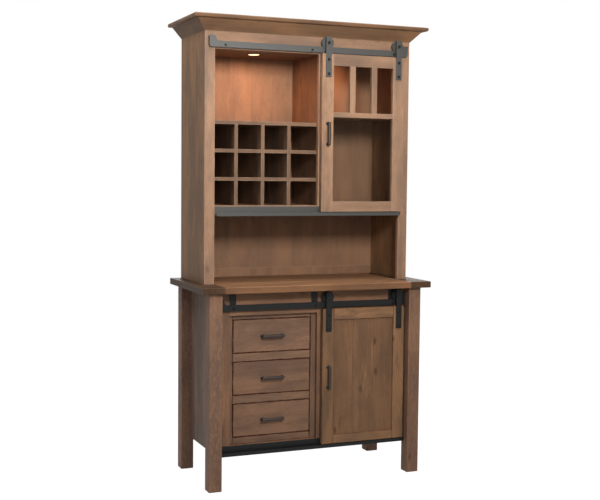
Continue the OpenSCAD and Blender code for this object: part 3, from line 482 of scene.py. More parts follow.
def oak(name, finish):
    """Stained oak of one finish, with its figure along each board."""
    lean = 0.035  # of the heart, a metre along the board
    even, dull, clear = (0.5, 0.93, 1.05) if finish == "inside" else (0.0, 0.86, 1.12)
    pool_and_shade, joint = 0.92, 0.5  # strength of edge pooling and painted shade, and of glue lines
    edge_lift_factor, edge_lift_rise = 1.35, 0.018  # of the stain on lightened edges: wear and painted highlight
    board_tone, stave_tone, dust = 0.14, 0.14, 0.04  # shares of brightness
    pore_rough, worn_smooth = 0.2, 0.15
    wood = bpy.context.scene.cabinet_wood
    shade = getattr(wood, finish)
    lively = LIVELY.get(finish, 1.0)
    material, b = new_material(name)
    place, half = b.attribute("place")["Vector"], b.attribute("half_size")["Vector"]
    seed = b.attribute("tone")["Fac"]
    staves = b.group("Glued staves", glued_staves, {
        "Grain": b.attribute("grain")["Vector"], "Place": place, "Half size": half,
        "Seed": seed, "Stave width": wood.stave})
    figure = b.group("Oak figure", oak_figure, {
        "Grain": staves["Grain"], "Ring spacing": wood.ring, "Lean": lean})
    edges = b.group("Edge wear", edge_wear_and_light, {
        "Place": place, "Half size": half, "Width": POOLED_AND_SHADED.get(finish, WORN_AND_LIT_WIDTH)})
    clouds = b.plus(even / 2, b.times(figure["Clouds"], 1.0 - even))
    body = b.blend(clouds, stained(shade, COOL), stained(shade, WARM))
    streak = b.blend(figure["Streaks"], (dull,) * 3 + (1.0,), (clear,) * 3 + (1.0,))
    body = b.blend(1.0, body, streak, "MULTIPLY")
    for mark, strength, follows, factors in OAK_MARKS:
        if mark != "Flecks" or finish in FLECKED:
            strength *= lively if follows else 1.0
            body = b.blend(b.times(figure[mark], strength), body, stained(shade, factors))
    # darkened edges on these finishes: partly stain pooling, partly painted shade in the gaps round
    # the parts
    if finish in POOLED_AND_SHADED:
        edge_tone, wear = stained(shade, POOL_AND_SHADE), pool_and_shade
    else:
        # lightened edges elsewhere: partly wear, partly painted highlight
        edge_tone = rgba([c * edge_lift_factor + edge_lift_rise for c in shade])
        # on the rack the lightened front edges are a painted highlight
        wear = wood.wear_rack if finish == "rack" else wood.wear
    rubbed = b.times(edges["Worn"], wear)
    body = b.blend(rubbed, body, edge_tone)
    body = b.blend(b.times(staves["Joint"], joint * lively), body, stained(shade, PORE))
    level = b.plus(1.0 - board_tone, b.times(seed, board_tone))
    level = b.plus(level, b.times(staves["Tone"], stave_tone * lively))
    level = b.plus(level, b.times(edges["Dust"], dust))
    toned = b.get("HueSaturation", {"Color": body, "Value": level})
    rough = b.plus(wood.gloss, b.times(figure["Pores"], pore_rough))
    b.surface(b.get("BsdfPrincipled", {
        "Base Color": toned, "Roughness": b.minus(rough, b.times(rubbed, worn_smooth)),
        "Specular IOR Level": 0.12,
        "Normal": b.bump(figure["Height"], strength=0.35, distance=0.0005)}))
    return material


def coated_metal(name, coat, grain_size, roughness, metallic=0.0, rub=1.5, specular=0.5):
    """Coated metal or moulded plastic: an even colour, lighter where it is rubbed thin."""
    low, high, rubbed = 0.82, 1.16, 0.4  # factors of the coat, and how far the thin spots show
    smoother, speckle_rough = 0.06, 0.14
    material, b = new_material(name)
    texture = b.group("Coated metal", coat_texture, {
        "Place": b.place(), "Grain size": grain_size})
    body = b.blend(texture["Speckle"], rgba(coat, low), rgba(coat, high))
    body = b.blend(b.times(texture["Rubbed"], rubbed), body, rgba(coat, rub))
    rough = b.plus(roughness - smoother, b.times(texture["Speckle"], speckle_rough))
    b.surface(b.get("BsdfPrincipled", {
        "Base Color": body, "Roughness": rough, "Metallic": metallic,
        "Specular IOR Level": specular,
        "Normal": b.bump(texture["Height"], strength=0.25, distance=0.0002)}))
    return material


def steel(finish):
    """Powder-coated steel, shinier in grey."""
    shade = getattr(bpy.context.scene.cabinet_metal, finish)
    specular = {"dark": 0.2, "grey": 0.45}[finish]
    return once("Steel_" + finish, coated_metal, shade, grain_size=0.0006, roughness=0.5,
                specular=specular)


def clear_glass(name):
    """Clear float glass that lets the lamps through."""
    material, b = new_material(name)
    tint = rgba(bpy.context.scene.cabinet_glass.glass)
    smears = b.step(b.noise(b.place(), 14.0, 4.0, 0.6), 0.45, 0.8)
    glass = b.get("BsdfPrincipled", {
        "Base Color": tint, "Transmission Weight": 1.0, "IOR": 1.08,
        "Roughness": b.times(smears, 0.03)})
    clear = b.get("BsdfTransparent", {"Color": tint})
    path = b.add("LightPath").outputs
    either = b.math("MAXIMUM", path["Is Shadow Ray"], path["Is Diffuse Ray"])
    b.surface(b.get("MixShader", {0: either, 1: glass, 2: clear}))
    return material


def lit_lens(name):
    """Frosted lens, lit from inside."""
    material, b = new_material(name)
    lamp = bpy.context.scene.cabinet_glass
    frost = b.noise(b.place(), 900.0)
    glow = b.blend(frost, rgba(lamp.lens, 0.85), rgba(lamp.lens))
    b.surface(b.get("BsdfPrincipled", {
        "Base Color": glow, "Emission Color": glow, "Emission Strength": lamp.lens_strength,
        "Roughness": b.plus(0.3, b.times(frost, 0.1))}))
    return material


# Shapes

# Lengths are in metres
SAME_PLACE, SAME_ON_AXIS = 1e-6, 1e-7  # corners this near are one, the second on turned shapes
NO_AREA = 1e-14  # square metres under which a face is dropped
FLAT = math.radians(0.4)  # faces that meet at less are joined
SHARP = math.radians(32)  # edges that turn more are rounded
CREASE = math.radians(38)  # edges that turn more stay sharp on a turned piece
JOINT_PLAY = 0.0003  # an edge may miss the board that it meets by this much
TREE_PLACES = ((-3, 3), (-0.11, 0.11), (0.02, 0.12))  # along, across and from the heart
SHORTEST_ON_BOARD, SHORTEST_ON_STEEL = 0.012, 0.0009  # shorter edges stay square
FRONTWARDS = Matrix.Rotation(math.radians(90), 4, "X")

OAK_SLOTS = {
    "drawer": "oak_front", "inset": "oak_front", "panel": "oak_front", "door": "oak_front",
    "back_leg": "oak_base", "base_side": "oak_base", "hutch_side": "oak_hutch",
    "rack": "oak_inside"}
OAK_EDGES = {
    "base": "leg_edge", "back_leg": "leg_edge", "inset": "front_edge", "drawer": "front_edge",
    "rack": "rack_edge"}
UPRIGHT = ("base_back", "hutch_back")


def loose_parts(bm):
    """The separate solids of a mesh, each as a list of its vertices, in a fixed order."""
    seen, parts = set(), []
    for start in bm.verts:
        if start in seen:
            continue
        seen.add(start)
        part = [start]
        for vert in part:
            for edge in vert.link_edges:
                other = edge.other_vert(vert)
                if other not in seen:
                    seen.add(other)
                    part.append(other)
        parts.append(part)
    return sorted(parts, key=lambda part: tuple(round(v, 4) for v in middle(*box_of(part))))


def box_of(verts):
    """Lowest and highest corner of some vertices."""
    axes = list(zip(*(vert.co for vert in verts)))
    return Vector(map(min, axes)), Vector(map(max, axes))


def middle(low, high):
    return (low + high) / 2


def copy_of(node):
    """A CAD node's mesh with its doubles merged and its flat faces joined."""
    bm = bmesh.new()
    bm.from_mesh(NODES[node].data)
    bmesh.ops.remove_doubles(bm, verts=bm.verts, dist=SAME_PLACE)
    bmesh.ops.dissolve_limit(
        bm, angle_limit=FLAT, verts=bm.verts, edges=bm.edges, delimit={"NORMAL"})
    return bm


def round_edges(bm, radius, shortest, segments=2, only=None):
    """Rounds the sharp outer edges, apart from those that meet another board of the node."""
    parts = loose_parts(bm)
    boxes = [box_of(part) for part in parts]
    owner = {vert: i for i, part in enumerate(parts) for vert in part}

    def touches(edge, box):
        return all(box[0][i] - JOINT_PLAY <= vert.co[i] <= box[1][i] + JOINT_PLAY
                   for vert in edge.verts for i in range(3))

    chosen = []
    for edge in bm.edges:
        if len(edge.link_faces) != 2 or edge.calc_length() < shortest or not edge.is_convex:
            continue
        if edge.calc_face_angle(0.0) < SHARP or (only and not only(edge)):
            continue
        own = owner[edge.verts[0]]
        if not any(i != own and touches(edge, box) for i, box in enumerate(boxes)):
            chosen.append(edge)
    bmesh.ops.bevel(
        bm, geom=chosen, offset=radius, offset_type="OFFSET", segments=segments, profile=0.5,
        affect="EDGES", clamp_overlap=False, loop_slide=True)


def mark_boards(bm, node):
    """Gives each board its grain direction, its size and a place and tone of its own."""
    layers = bm.verts.layers
    grain, place, half = (layers.float_vector.new(name)
                          for name in ("grain", "place", "half_size"))
    tone = layers.float.new("tone")
    for number, part in enumerate(loose_parts(bm)):
        chance = random.Random(zlib.crc32(f"{node} {number}".encode()))
        low, high = box_of(part)
        centre, size = middle(low, high), high - low
        order = sorted(range(3), key=lambda axis: -size[axis])
        if node in UPRIGHT:
            order.sort(key=lambda axis: axis != 2)
        shift = Vector(chance.uniform(*limits) for limits in TREE_PLACES)
        own_tone = chance.random()
        halves = Vector(size[axis] / 2 for axis in order)
        for vert in part:
            here = Vector(vert.co[axis] - centre[axis] for axis in order)
            vert[place] = here
            vert[grain] = here + shift
            vert[half] = halves
            vert[tone] = own_tone


def added(name, data):
    item = bpy.data.objects.new(name, data)
    bpy.context.scene.collection.objects.link(item)
    return item


def show(name, node, shape, material, slot, smooth=False):
    """Turns a finished bmesh or mesh into the piece that stands for this CAD node."""
    mesh = shape
    if isinstance(shape, bmesh.types.BMesh):
        mesh = bpy.data.meshes.new(name)
        shape.to_mesh(mesh)
        shape.free()
    for layer in ("custom_normal", "sharp_edge", "sharp_face"):
        if layer in mesh.attributes:
            mesh.attributes.remove(mesh.attributes[layer])
    if smooth:
        mesh.shade_smooth()
        mesh.set_sharp_from_angle(angle=CREASE)
    else:
        mesh.shade_flat()
    mesh.materials.clear()
    mesh.materials.append(material)
    piece = added(name, mesh)
    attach(piece, NODES[node]["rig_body"])
    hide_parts(node)


def rounded_outline(corners, steps):
    """A closed outline from corners of X, Y and the radius that each is rounded to."""
    points = [Vector(corner[:2]) for corner in corners]
    done = []
    for i, (here, (_, _, radius)) in enumerate(zip(points, corners)):
        if not radius:
            done.append(here)
            continue
        before = (points[i - 1] - here).normalized()
        after = (points[(i + 1) % len(points)] - here).normalized()
        half = before.angle(after) / 2
        back = radius / math.tan(half)
        centre = here + (before + after).normalized() * radius / math.sin(half)
        first, last = here + before * back - centre, here + after * back - centre
        sweep = first.angle_signed(last)
        done += [centre + Matrix.Rotation(-sweep * k / steps, 2) @ first
                 for k in range(steps + 1)]
    return done


def skin(bm, rings, wrap):
    """Joins rings of vertices by faces, and the last ring to the first where it wraps."""
    for k in range(len(rings) if wrap else len(rings) - 1):
        ring, after = rings[k], rings[(k + 1) % len(rings)]
        for i in range(len(ring)):
            j = (i + 1) % len(ring)
            bm.faces.new((ring[i], after[i], after[j], ring[j]))


def turned(bm, corners, place, segments, steps):
    """Turns corners of radius, height and rounding about Z, then puts the shape in its place."""
    outline = rounded_outline(corners, steps)
    rings = []
    for k in range(segments):
        angle = 2 * math.pi * k / segments
        rings.append([bm.verts.new(place @ Vector(
            (r * math.cos(angle), r * math.sin(angle), z))) for r, z in outline])
    skin(bm, rings, True)
    bmesh.ops.remove_doubles(bm, verts=[vert for ring in rings for vert in ring], dist=SAME_ON_AXIS)


def closed(bm):
    """Drops empty faces and turns the others outwards."""
    flat = [face for face in bm.faces if face.calc_area() < NO_AREA]
    bmesh.ops.delete(bm, geom=flat, context="FACES_ONLY")
    bmesh.ops.recalc_face_normals(bm, faces=bm.faces)


# Woodwork

def boards(finish, *nodes):
    """The boards of these CAD nodes with rounded edges and their own grain."""
    edge = getattr(bpy.context.scene.cabinet_wood, OAK_EDGES.get(finish, "board_edge"))
    for node in nodes:
        bm = copy_of(node)
        round_edges(bm, edge, SHORTEST_ON_BOARD)
        mark_boards(bm, node)
        show(node + "_oak", node, bm, once("Oak_" + finish, oak, finish),
             OAK_SLOTS.get(finish, "oak_" + finish))


class CABINET_OT_base_boards(bpy.types.Operator):
    """Legs, panels, face frame and counter of the base"""

    bl_idname = "cabinet.base_boards"
    bl_label = "Base boards"

    def execute(self, context):
        boards("base", "legs_front")
        # the back legs' lighter stain is painted light
        boards("back_leg", "legs_back")
        boards("base_side", "base_side_left", "base_side_right")
        boards("front", "base_face_frame")
        boards("inset", "drawer_frame")
        boards("inside", "base_bottom", "base_divider", "drawer_runners", "base_shelf", "base_back")
        boards("counter", "base_top")
        boards("counter_end", "breadboard_ends")
        return {"FINISHED"}


class CABINET_OT_hutch_boards(bpy.types.Operator):
    """Sides, face frame, back, shelves and bottle rack of the hutch"""

    bl_idname = "cabinet.hutch_boards"
    bl_label = "Hutch boards"

    def execute(self, context):
        boards("hutch", "hutch_face_frame")
        # the sides' darker stain is partly painted shade
        boards("hutch_side", "hutch_side_left", "hutch_side_right")
        boards("rack", "rack_shelf", "rack_uprights", "rack_slats")
        boards("inside", "hutch_floor", "display_shelf")
        # the light deck's darker face-frame stain is partly painted shade under the deck
        boards("front", "hutch_divider", "light_deck")
        boards("inside", "hutch_back")
        return {"FINISHED"}


class CABINET_OT_crown(bpy.types.Operator):
    """Sloping crown boards and the cap over them"""

    bl_idname = "cabinet.crown"
    bl_label = "Crown"

    def execute(self, context):
        boards("crown", "crown_moulding", "crown_cap")
        return {"FINISHED"}


class CABINET_OT_doors(bpy.types.Operator):
    """Frames, panel and bars of the two sliding doors"""

    bl_idname = "cabinet.doors"
    bl_label = "Doors"

    def execute(self, context):
        boards("door", "base_door_frame")
        boards("panel", "base_door_panel")
        boards("hutch", "glass_door_frame", "glass_door_muntins")
        return {"FINISHED"}


class CABINET_OT_drawers(bpy.types.Operator):
    """Fronts and boxes of the three drawers"""

    bl_idname = "cabinet.drawers"
    bl_label = "Drawers"

    def execute(self, context):
        for number in (1, 2, 3):
            boards("drawer", f"drawer_front_{number}")
            boards("inside", f"drawer_box_{number}")
        return {"FINISHED"}


# Steelwork

def steel_piece(node, finish, round_tops):
    """A steel CAD node with fine edges, its upper corners rounded where asked."""
    metal = bpy.context.scene.cabinet_metal
    bm = copy_of(node)
    if round_tops:
        play = 1e-5
        tops = [box_of(part)[1].z for part in loose_parts(bm)]

        def top_corner(edge):
            a, b = edge.verts[0].co, edge.verts[1].co
            level = abs(a.x - b.x) < play and abs(a.z - b.z) < play
            return level and any(abs(a.z - top) < play for top in tops)

        round_edges(bm, metal.corner, shortest=0.002, segments=5, only=top_corner)
    round_edges(bm, metal.edge, SHORTEST_ON_STEEL)
    show(node + "_steel", node, bm, steel(finish), "steel_" + finish)


class CABINET_OT_steelwork(bpy.types.Operator):
    """Tracks, brackets, floor guides and hanger straps"""

    bl_idname = "cabinet.steelwork"
    bl_label = "Steelwork"

    def execute(self, context):
        for node, finish, round_tops in (
                ("base_track", "dark", True), ("base_track_brackets", "dark", False),
                ("base_guide", "dark", False), ("base_door_hangers", "dark", True),
                ("hutch_track", "grey", True), ("hutch_guide", "grey", False),
                ("glass_door_hangers", "grey", True)):
            steel_piece(node, finish, round_tops)
        return {"FINISHED"}


class CABINET_OT_wheels(bpy.types.Operator):
    """Grooved wheels with a turned web"""

    bl_idname = "cabinet.wheels"
    bl_label = "Wheels"

    bore, tread = 0.00405, 0.018  # radii
    groove, lip, slope = 0.004, 0.004, 0.001  # half the groove, and widths across the lip and web

    def execute(self, context):
        metal = context.scene.cabinet_metal
        finishes = {"base": "dark", "glass": "grey"}
        for node in ("base_wheel_left", "base_wheel_right", "glass_wheel_left",
                     "glass_wheel_right"):
            finish = finishes[node.split("_")[0]]
            low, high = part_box(node)
            rim, t = (high.z - low.z) / 2, (high.y - low.y) / 2
            hub, web, lip = metal.hub_diameter / 2, t - metal.web_recess, rim - self.lip
            # Radius, depth and rounding of each corner
            back = [(self.bore, t, 0.0004), (hub, t, 0.0003), (hub + self.slope, web, 0),
                    (lip - self.slope, web, 0), (lip, t, 0.0003), (rim, t, 0.0009),
                    (rim, self.groove, 0.0006), (self.tread, self.groove, 0.0009)]
            front = [(radius, -y, soft) for radius, y, soft in back]
            bm = bmesh.new()
            place = Matrix.Translation(middle(low, high)) @ FRONTWARDS
            turned(bm, front + back[::-1], place, segments=80, steps=3)
            closed(bm)
            show(node + "_turned", node, bm, steel(finish), "steel_" + finish, True)
        return {"FINISHED"}


# Fixings by geometry nodes

def fixings_tree(name):
    """Puts a headed fixing with a round socket on each point."""
    rim_share, top_share, socket_share, socket_depth, shank_sides = 0.4, 0.62, 0.6, 0.9, 20
    tree, b, given = new_group(
        name,
        {"Geometry": "Geometry", "Vector": "Turn", "Int": "Sides", "Material": "Material",
         "Float": "Head diameter, Head height, Shank diameter, Shank length"},
        {"Geometry": "Geometry"}, "GeometryNodeTree")

    def lifted(geometry, height):
        return b.get("GeometryNodeTransform", {
            "Geometry": geometry, "Translation": b.stack(z=height)})

    radius = b.times(given["Head diameter"], 0.5)
    rim_height = b.times(given["Head height"], rim_share)
    rim = b.get("GeometryNodeMeshCylinder", {
        "Vertices": given["Sides"], "Radius": radius, "Depth": rim_height})
    dome_height = b.minus(given["Head height"], rim_height)
    cone = b.add("GeometryNodeMeshCone", {
        "Vertices": given["Sides"], "Radius Bottom": radius,
        "Radius Top": b.times(radius, top_share), "Depth": dome_height}).outputs
    ring = b.add("GeometryNodeExtrudeMesh", {
        "Mesh": cone["Mesh"], "Selection": cone["Top"], "Offset Scale": 0.0,
        "Individual": False}, mode="FACES").outputs
    inner = b.get("GeometryNodeScaleElements", {
        "Geometry": ring["Mesh"], "Selection": ring["Top"], "Scale": socket_share}, domain="FACE")
    dome = b.get("GeometryNodeExtrudeMesh", {
        "Mesh": inner, "Selection": ring["Top"], "Individual": False,
        "Offset Scale": b.times(dome_height, -socket_depth)}, mode="FACES")
    shank = b.get("GeometryNodeMeshCylinder", {
        "Vertices": shank_sides, "Radius": b.times(given["Shank diameter"], 0.5),
        "Depth": given["Shank length"]})
    whole = b.add("GeometryNodeJoinGeometry")
    for part, height in ((rim, b.times(rim_height, 0.5)), (dome, rim_height),
                         (shank, b.times(given["Shank length"], -0.5))):
        b.feed(whole.inputs[0], lifted(part, height))
    placed = b.get("GeometryNodeInstanceOnPoints", {
        "Points": given["Geometry"], "Instance": whole.outputs[0],
        "Rotation": b.get("FunctionNodeEulerToRotation", {0: given["Turn"]})})
    b.add("NodeGroupOutput", {0: b.get("GeometryNodeSetMaterial", {
        "Geometry": b.get("GeometryNodeRealizeInstances", {0: placed}),
        "Material": given["Material"]})})
    return tree


def fixings(name, node, points, sizes):
    """One mesh of headed steel fixings on these points."""
    tree = once("Round fixings", fixings_tree)
    dots = bpy.data.meshes.new(name)
    dots.from_pydata(points, [], [])
    carrier = added(name + "_points", dots)
    modifier = carrier.modifiers.new("Fixings", "NODES")
    modifier.node_group = tree
    values = {**sizes, "Material": steel("dark"), "Turn": (math.radians(90), 0.0, 0.0)}
    for label, value in values.items():
        modifier[tree.interface.items_tree[label].identifier] = value
    carrier.update_tag()
    depsgraph = bpy.context.evaluated_depsgraph_get()
    mesh = bpy.data.meshes.new_from_object(carrier.evaluated_get(depsgraph))
    carrier.modifiers.clear()
    bpy.data.objects.remove(carrier)
    mesh.name = name
    show(name, node, mesh, steel("dark"), "steel_dark")


def taken_out(bm, width, least_depth):
    """Removes the solids so wide across and at least so deep, and returns their front places."""
    found, play = [], 0.0003
    for part in loose_parts(bm):
        low, high = box_of(part)
        size = high - low
        across = abs(size.x - width) < play and abs(size.z - width) < play
        if across and size.y > least_depth:
            centre = middle(low, high)
            found.append(Vector((centre.x, low.y, centre.z)))
            bmesh.ops.delete(bm, geom=part, context="VERTS")
    if not found:
        raise RuntimeError("no fixing of that size is in this node")
    return found


class CABINET_OT_fixings(bpy.types.Operator):
    """Hanger screws, track bolts, axles, spacers and guide blocks"""

    bl_idname = "cabinet.fixings"
    bl_label = "Fixings"

    screw = {"Head diameter": 0.014, "Head height": 0.0038, "Shank diameter": 0.006,
             "Shank length": 0.019, "Sides": 24}
    bolt = {"Head diameter": 0.011, "Head height": 0.004, "Shank diameter": 0.006,
            "Shank length": 0.034, "Sides": 20}
    least_screw, least_bolt = 0.02, 0.03  # lengths that tell them from the other solids

    def execute(self, context):
        edge = context.scene.cabinet_metal.edge
        rows = [(node, node + "_rest", node + "_screws", self.screw, self.least_screw,
                 edge, 0.0012) for node in ("base_door_fasteners", "glass_door_fasteners")]
        rows.append(("track_bolts", "track_spacers", "track_bolt_heads", self.bolt,
                     self.least_bolt, edge / 2, 0.0005))
        for node, rest, heads, sizes, least_depth, radius, shortest in rows:
            bm = copy_of(node)
            under_head = Vector((0, sizes["Head height"], 0))
            seats = [place + under_head
                     for place in taken_out(bm, sizes["Head diameter"], least_depth)]
            round_edges(bm, radius, shortest)
            show(rest, node, bm, steel("dark"), "steel_dark")
            fixings(heads, node, seats, sizes)
        return {"FINISHED"}


# Pulls

def pull_bar(bm, place, pull):
    """A slightly arched bar along X, rounded in front, its ends turned back to the posts."""
    steps = 6  # stations in half the bar, and in each end
    taper, end_thinning = 0.1, 0.35
    rear_soft, front_soft, soft_share = 0.0004, 0.0045, 0.6
    half = (pull.span + pull.bar_width) / 2
    straight = half - pull.end_radius
    turns = [math.radians(90 * k / steps) for k in range(steps + 1)]
    end = [(straight + pull.end_radius * math.sin(turn), pull.end_radius * (1 - math.cos(turn)))
           for turn in turns]
    level = [(straight * k / steps, 0.0) for k in range(1 - steps, steps)]
    rear = -pull.reach + pull.bar_depth
    rings = []
    for x, back in [(-x, back) for x, back in reversed(end)] + level + end:
        front = -pull.reach + pull.arch * min(1.0, abs(x) / straight) ** 2 + back
        w = pull.bar_width / 2 * (1 - taper * (x / half) ** 2) - end_thinning * back
        soft = min(front_soft, soft_share * (rear - front))
        outline = rounded_outline([(-w, rear, rear_soft), (w, rear, rear_soft),
                                   (w, front, soft), (-w, front, soft)], steps=5)
        rings.append([bm.verts.new(place @ Vector((x, y, z))) for z, y in outline])
    skin(bm, rings, False)
    bm.faces.new(rings[0])
    bm.faces.new(rings[-1])


def pull_post(bm, place, pull):
    """A rose and a waisted post that stands out to the bar."""
    into_bar, waist, foot = 0.0006, 0.0009, 0.0016
    edge, steps = 0.55, 6  # height of the rose's edge as a share, and stations up the post
    rose, post = pull.rose_diameter / 2, pull.post_diameter / 2
    tall = pull.reach - pull.bar_depth + into_bar
    cove = pull.rose_height
    corners = [(0, 0, 0), (rose, 0, 0.0002), (rose, cove * edge, 0.0007),
               (post + foot, cove, 0.0006)]
    corners += [(post - waist * math.sin(math.pi * k / steps), cove + (tall - cove) * k / steps, 0)
                for k in range(1, steps + 1)]
    turned(bm, corners + [(0, tall, 0)], place @ FRONTWARDS, segments=40, steps=3)


class CABINET_OT_pulls(bpy.types.Operator):
    """Bar pulls of the doors and drawers"""

    bl_idname = "cabinet.pulls"
    bl_label = "Pulls"

    def execute(self, context):
        pull = context.scene.cabinet_pull
        bronze = once("Bronze", coated_metal, pull.bronze, grain_size=0.0004, roughness=0.42,
                      metallic=0.55, rub=2.2)
        for node, angle in (("base_door_pull", 90), ("glass_door_pull", 90),
                            ("drawer_pull_1", 0), ("drawer_pull_2", 0), ("drawer_pull_3", 0)):
            low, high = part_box(node)
            centre = middle(low, high)
            place = (Matrix.Translation((centre.x, high.y, centre.z))
                     @ Matrix.Rotation(math.radians(-angle), 4, "Y"))
            bm = bmesh.new()
            pull_bar(bm, place, pull)
            for side in (-0.5, 0.5):
                pull_post(bm, place @ Matrix.Translation((side * pull.span, 0, 0)), pull)
            closed(bm)
            show(node + "_bronze", node, bm, bronze, "bronze", True)
        return {"FINISHED"}


# Glass and lights

def area_lamp(name, place, turn, size, energy, shade, spread):
    """A lamp that shines down its own Z, turned and placed."""
    light = bpy.data.lights.new(name, "AREA")
    light.size, light.energy, light.color, light.spread = size, energy, shade, spread
    lamp = added(name, light)
    lamp.location, lamp.rotation_euler = place, turn
    return lamp


class CABINET_OT_glazing(bpy.types.Operator):
    """Four panes of the glass door"""

    bl_idname = "cabinet.glazing"
    bl_label = "Glazing"

    def execute(self, context):
        show("glass_panes_clear", "glass_panes", copy_of("glass_panes"),
             once("Clear_glass", clear_glass), "glass")
        return {"FINISHED"}


class CABINET_OT_lights(bpy.types.Operator):
    """Trim rings, bodies and lenses of the two lights, and the lamp under each"""

    bl_idname = "cabinet.lights"
    bl_label = "Lights"

    body_radius = 0.03
    lens_gap, lens_bevel, bevel_depth = 0.0001, 0.0016, 0.0008
    dome, dome_rings = 0.0012, 6
    drop, tilt_share = 0.004, 0.7  # of the lamp under a lens

    def execute(self, context):
        lamp = context.scene.cabinet_glass
        low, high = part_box("light_housings")
        lens_low, lens_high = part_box("light_lenses")
        ring = (high.y - low.y) / 2
        lens = (lens_high.y - lens_low.y) / 2
        deck, top = lens_high.z - low.z, high.z - low.z
        opening = lens + self.lens_gap
        y = (low.y + high.y) / 2
        housing, face = bmesh.new(), bmesh.new()
        for x, level, lean in ((low.x + ring, 1.0, 0.0),
                               (high.x - ring, lamp.glow_right, math.radians(lamp.glow_lean))):
            place = Matrix.Translation((x, y, low.z))
            turned(housing, [
                (0, deck, 0), (opening, deck, 0), (opening, self.bevel_depth, 0),
                (lens + self.lens_bevel, 0, 0.0006), (ring, 0, 0.0018), (ring, deck, 0.0002),
                (self.body_radius, deck, 0), (self.body_radius, top, 0.0015), (0, top, 0)],
                place, segments=72, steps=4)
            steps = [k / self.dome_rings for k in range(self.dome_rings + 1)]
            dome = [(lens * step, self.dome * step ** 2, 0) for step in steps]
            turned(face, dome + [(lens, deck, 0), (0, deck, 0)], place, segments=72, steps=4)
            bulb = area_lamp(
                "Glow", (x, y, low.z - self.drop - 2 * lens * math.sin(lean)),
                (lean * self.tilt_share, lean, 0), 2 * lens, lamp.glow_power * level, lamp.glow,
                math.pi - lean / 2)
            bulb.data.shape = "DISK"
            bulb.visible_camera = bulb.visible_transmission = False
        closed(housing)
        closed(face)
        show("light_housings_turned", "light_housings", housing, steel("grey"), "steel_grey", True)
        show("light_lenses_domed", "light_lenses", face, once("Lit_lens", lit_lens), "lens", True)
        return {"FINISHED"}


class CABINET_OT_small_parts(bpy.types.Operator):
    """Leg glides and shelf pins"""

    bl_idname = "cabinet.small_parts"
    bl_label = "Glides and pins"

    glide_edge = 0.0008

    def execute(self, context):
        plastic = once("Glide_plastic", coated_metal, context.scene.cabinet_metal.plastic,
                       grain_size=0.0009, roughness=0.62)
        bm = copy_of("leg_glides")
        round_edges(bm, self.glide_edge, SHORTEST_ON_STEEL)
        show("leg_glides_moulded", "leg_glides", bm, plastic, "glide")
        show("shelf_pins_steel", "shelf_pins", copy_of("shelf_pins"), steel("grey"), "steel_grey")
        return {"FINISHED"}


# Stage

WHITE = (1.0, 1.0, 1.0, 1.0)

# Each lamp's place, what it is aimed at, its size in metres, its colour and its spread in degrees
LAMPS = {
    "Key": ((-0.3, -3.1, 2.42), (-0.2, 0, 2.0), 0.6, (1.0, 0.98, 0.96), 110),
    "Fill": ((-1.4, -4.5, 1.4), (0, 0, 1.1), 2.2, (1.0, 0.99, 0.97), 180),
    "Side": ((-1.8, -0.7, 3.1), (-0.5, 0, 1.8), 0.9, (1.0, 0.98, 0.96), 180),
    "Top": ((0.6, -1.6, 4.2), (0, 0, 1.2), 2.0, (1.0, 0.99, 0.97), 180),
    "Back": ((1.2, 3.4, 2.9), (0, 0, 1.0), 2.2, (0.98, 0.99, 1.0), 180)}


def seen_directly(b):
    """1 where the camera, a reflection or glass looks at the surface, else 0."""
    path = b.add("LightPath").outputs
    either = b.math("MAXIMUM", path["Is Camera Ray"], path["Is Glossy Ray"])
    return b.math("MAXIMUM", either, path["Is Transmission Ray"])


def floor_material(shade):
    """A floor that looks white and keeps the object's shadow."""
    brightness, white_share = 1.5, 0.65
    material, b = new_material("Floor")
    matt = b.get("BsdfDiffuse", {"Color": rgba(shade)})
    white = b.get("Emission", {"Color": WHITE, "Strength": brightness})
    factor = b.times(seen_directly(b), white_share)
    b.surface(b.get("MixShader", {0: factor, 1: matt, 2: white}))
    return material


def room_light(ambient):
    """A white background and an even light from all round."""
    world = bpy.data.worlds.new("Room")
    bpy.context.scene.world = world
    b = cleared(world)
    strength = b.plus(ambient, b.times(seen_directly(b), 1.0 - ambient))
    sky = b.get("Background", {"Color": WHITE, "Strength": strength})
    b.add("OutputWorld", {"Surface": sky})


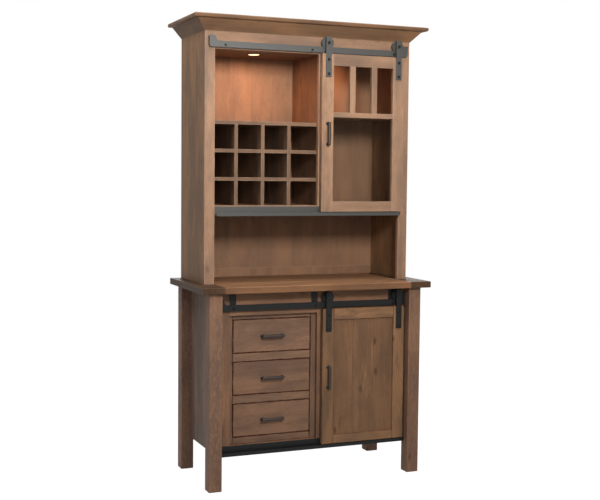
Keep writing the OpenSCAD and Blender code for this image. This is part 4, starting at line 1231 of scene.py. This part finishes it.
class CABINET_OT_stage(bpy.types.Operator):
    """Floor, lamps, room light and camera"""

    bl_idname = "cabinet.stage"
    bl_label = "Stage"

    floor_size = 14.0
    sensor_width = 36

    def execute(self, context):
        stage = context.scene.cabinet_stage
        half = self.floor_size / 2
        mesh = bpy.data.meshes.new("Floor")
        mesh.from_pydata([(-half, -half, 0), (half, -half, 0), (half, half, 0), (-half, half, 0)],
                         [], [(0, 1, 2, 3)])
        mesh.materials.append(floor_material(stage.floor))
        floor = added("Floor", mesh)
        for name, (place, target, size, shade, spread) in LAMPS.items():
            turn = (Vector(target) - Vector(place)).to_track_quat("-Z", "Y").to_euler()
            area_lamp(name, place, turn, size, getattr(stage, name.lower() + "_power"), shade,
                      math.radians(spread))
        room_light(stage.ambient)
        heading, pitch, roll = stage.camera_turn
        turn = (Matrix.Rotation(heading, 4, "Z") @ Matrix.Rotation(pitch, 4, "X")
                @ Matrix.Rotation(roll, 4, "Z"))
        camera = bpy.data.cameras.new("Camera")
        camera.lens, camera.sensor_width = stage.lens, self.sensor_width
        camera.sensor_fit = "HORIZONTAL"
        viewer = added("Camera", camera)
        viewer.matrix_world = Matrix.Translation(stage.camera_place) @ turn
        context.scene.camera = viewer
        context.scene.view_settings.view_transform = "Standard"
        return {"FINISHED"}


# Panel and registration

OPERATORS = (
    CABINET_OT_stage, CABINET_OT_base_boards, CABINET_OT_hutch_boards, CABINET_OT_crown,
    CABINET_OT_doors, CABINET_OT_drawers, CABINET_OT_steelwork, CABINET_OT_wheels,
    CABINET_OT_fixings, CABINET_OT_pulls, CABINET_OT_glazing, CABINET_OT_lights,
    CABINET_OT_small_parts)

GROUPS = {
    "cabinet_wood": WoodSettings, "cabinet_metal": MetalSettings, "cabinet_pull": PullSettings,
    "cabinet_glass": GlassSettings, "cabinet_stage": StageSettings}


class CABINET_PT_panel(bpy.types.Panel):
    """Settings and steps of the hutch cabinet"""

    bl_idname = "CABINET_PT_panel"
    bl_label = "Hutch cabinet"
    bl_space_type = "VIEW_3D"
    bl_region_type = "UI"
    bl_category = "Cabinet"

    def draw(self, context):
        for name, group in GROUPS.items():
            box = self.layout.box()
            for setting in group.__annotations__:
                box.prop(getattr(context.scene, name), setting)
        for operator in OPERATORS:
            self.layout.operator(operator.bl_idname)


register_all, unregister_all = bpy.utils.register_classes_factory(
    (*GROUPS.values(), *OPERATORS, CABINET_PT_panel))


def register():
    register_all()
    for name, group in GROUPS.items():
        setattr(bpy.types.Scene, name, PointerProperty(type=group))


def unregister():
    for name in GROUPS:
        delattr(bpy.types.Scene, name)
    unregister_all()


def main():
    register()
    for operator in OPERATORS:
        family, step = operator.bl_idname.split(".")
        getattr(getattr(bpy.ops, family), step)()


if __name__ == "__main__":
    main()
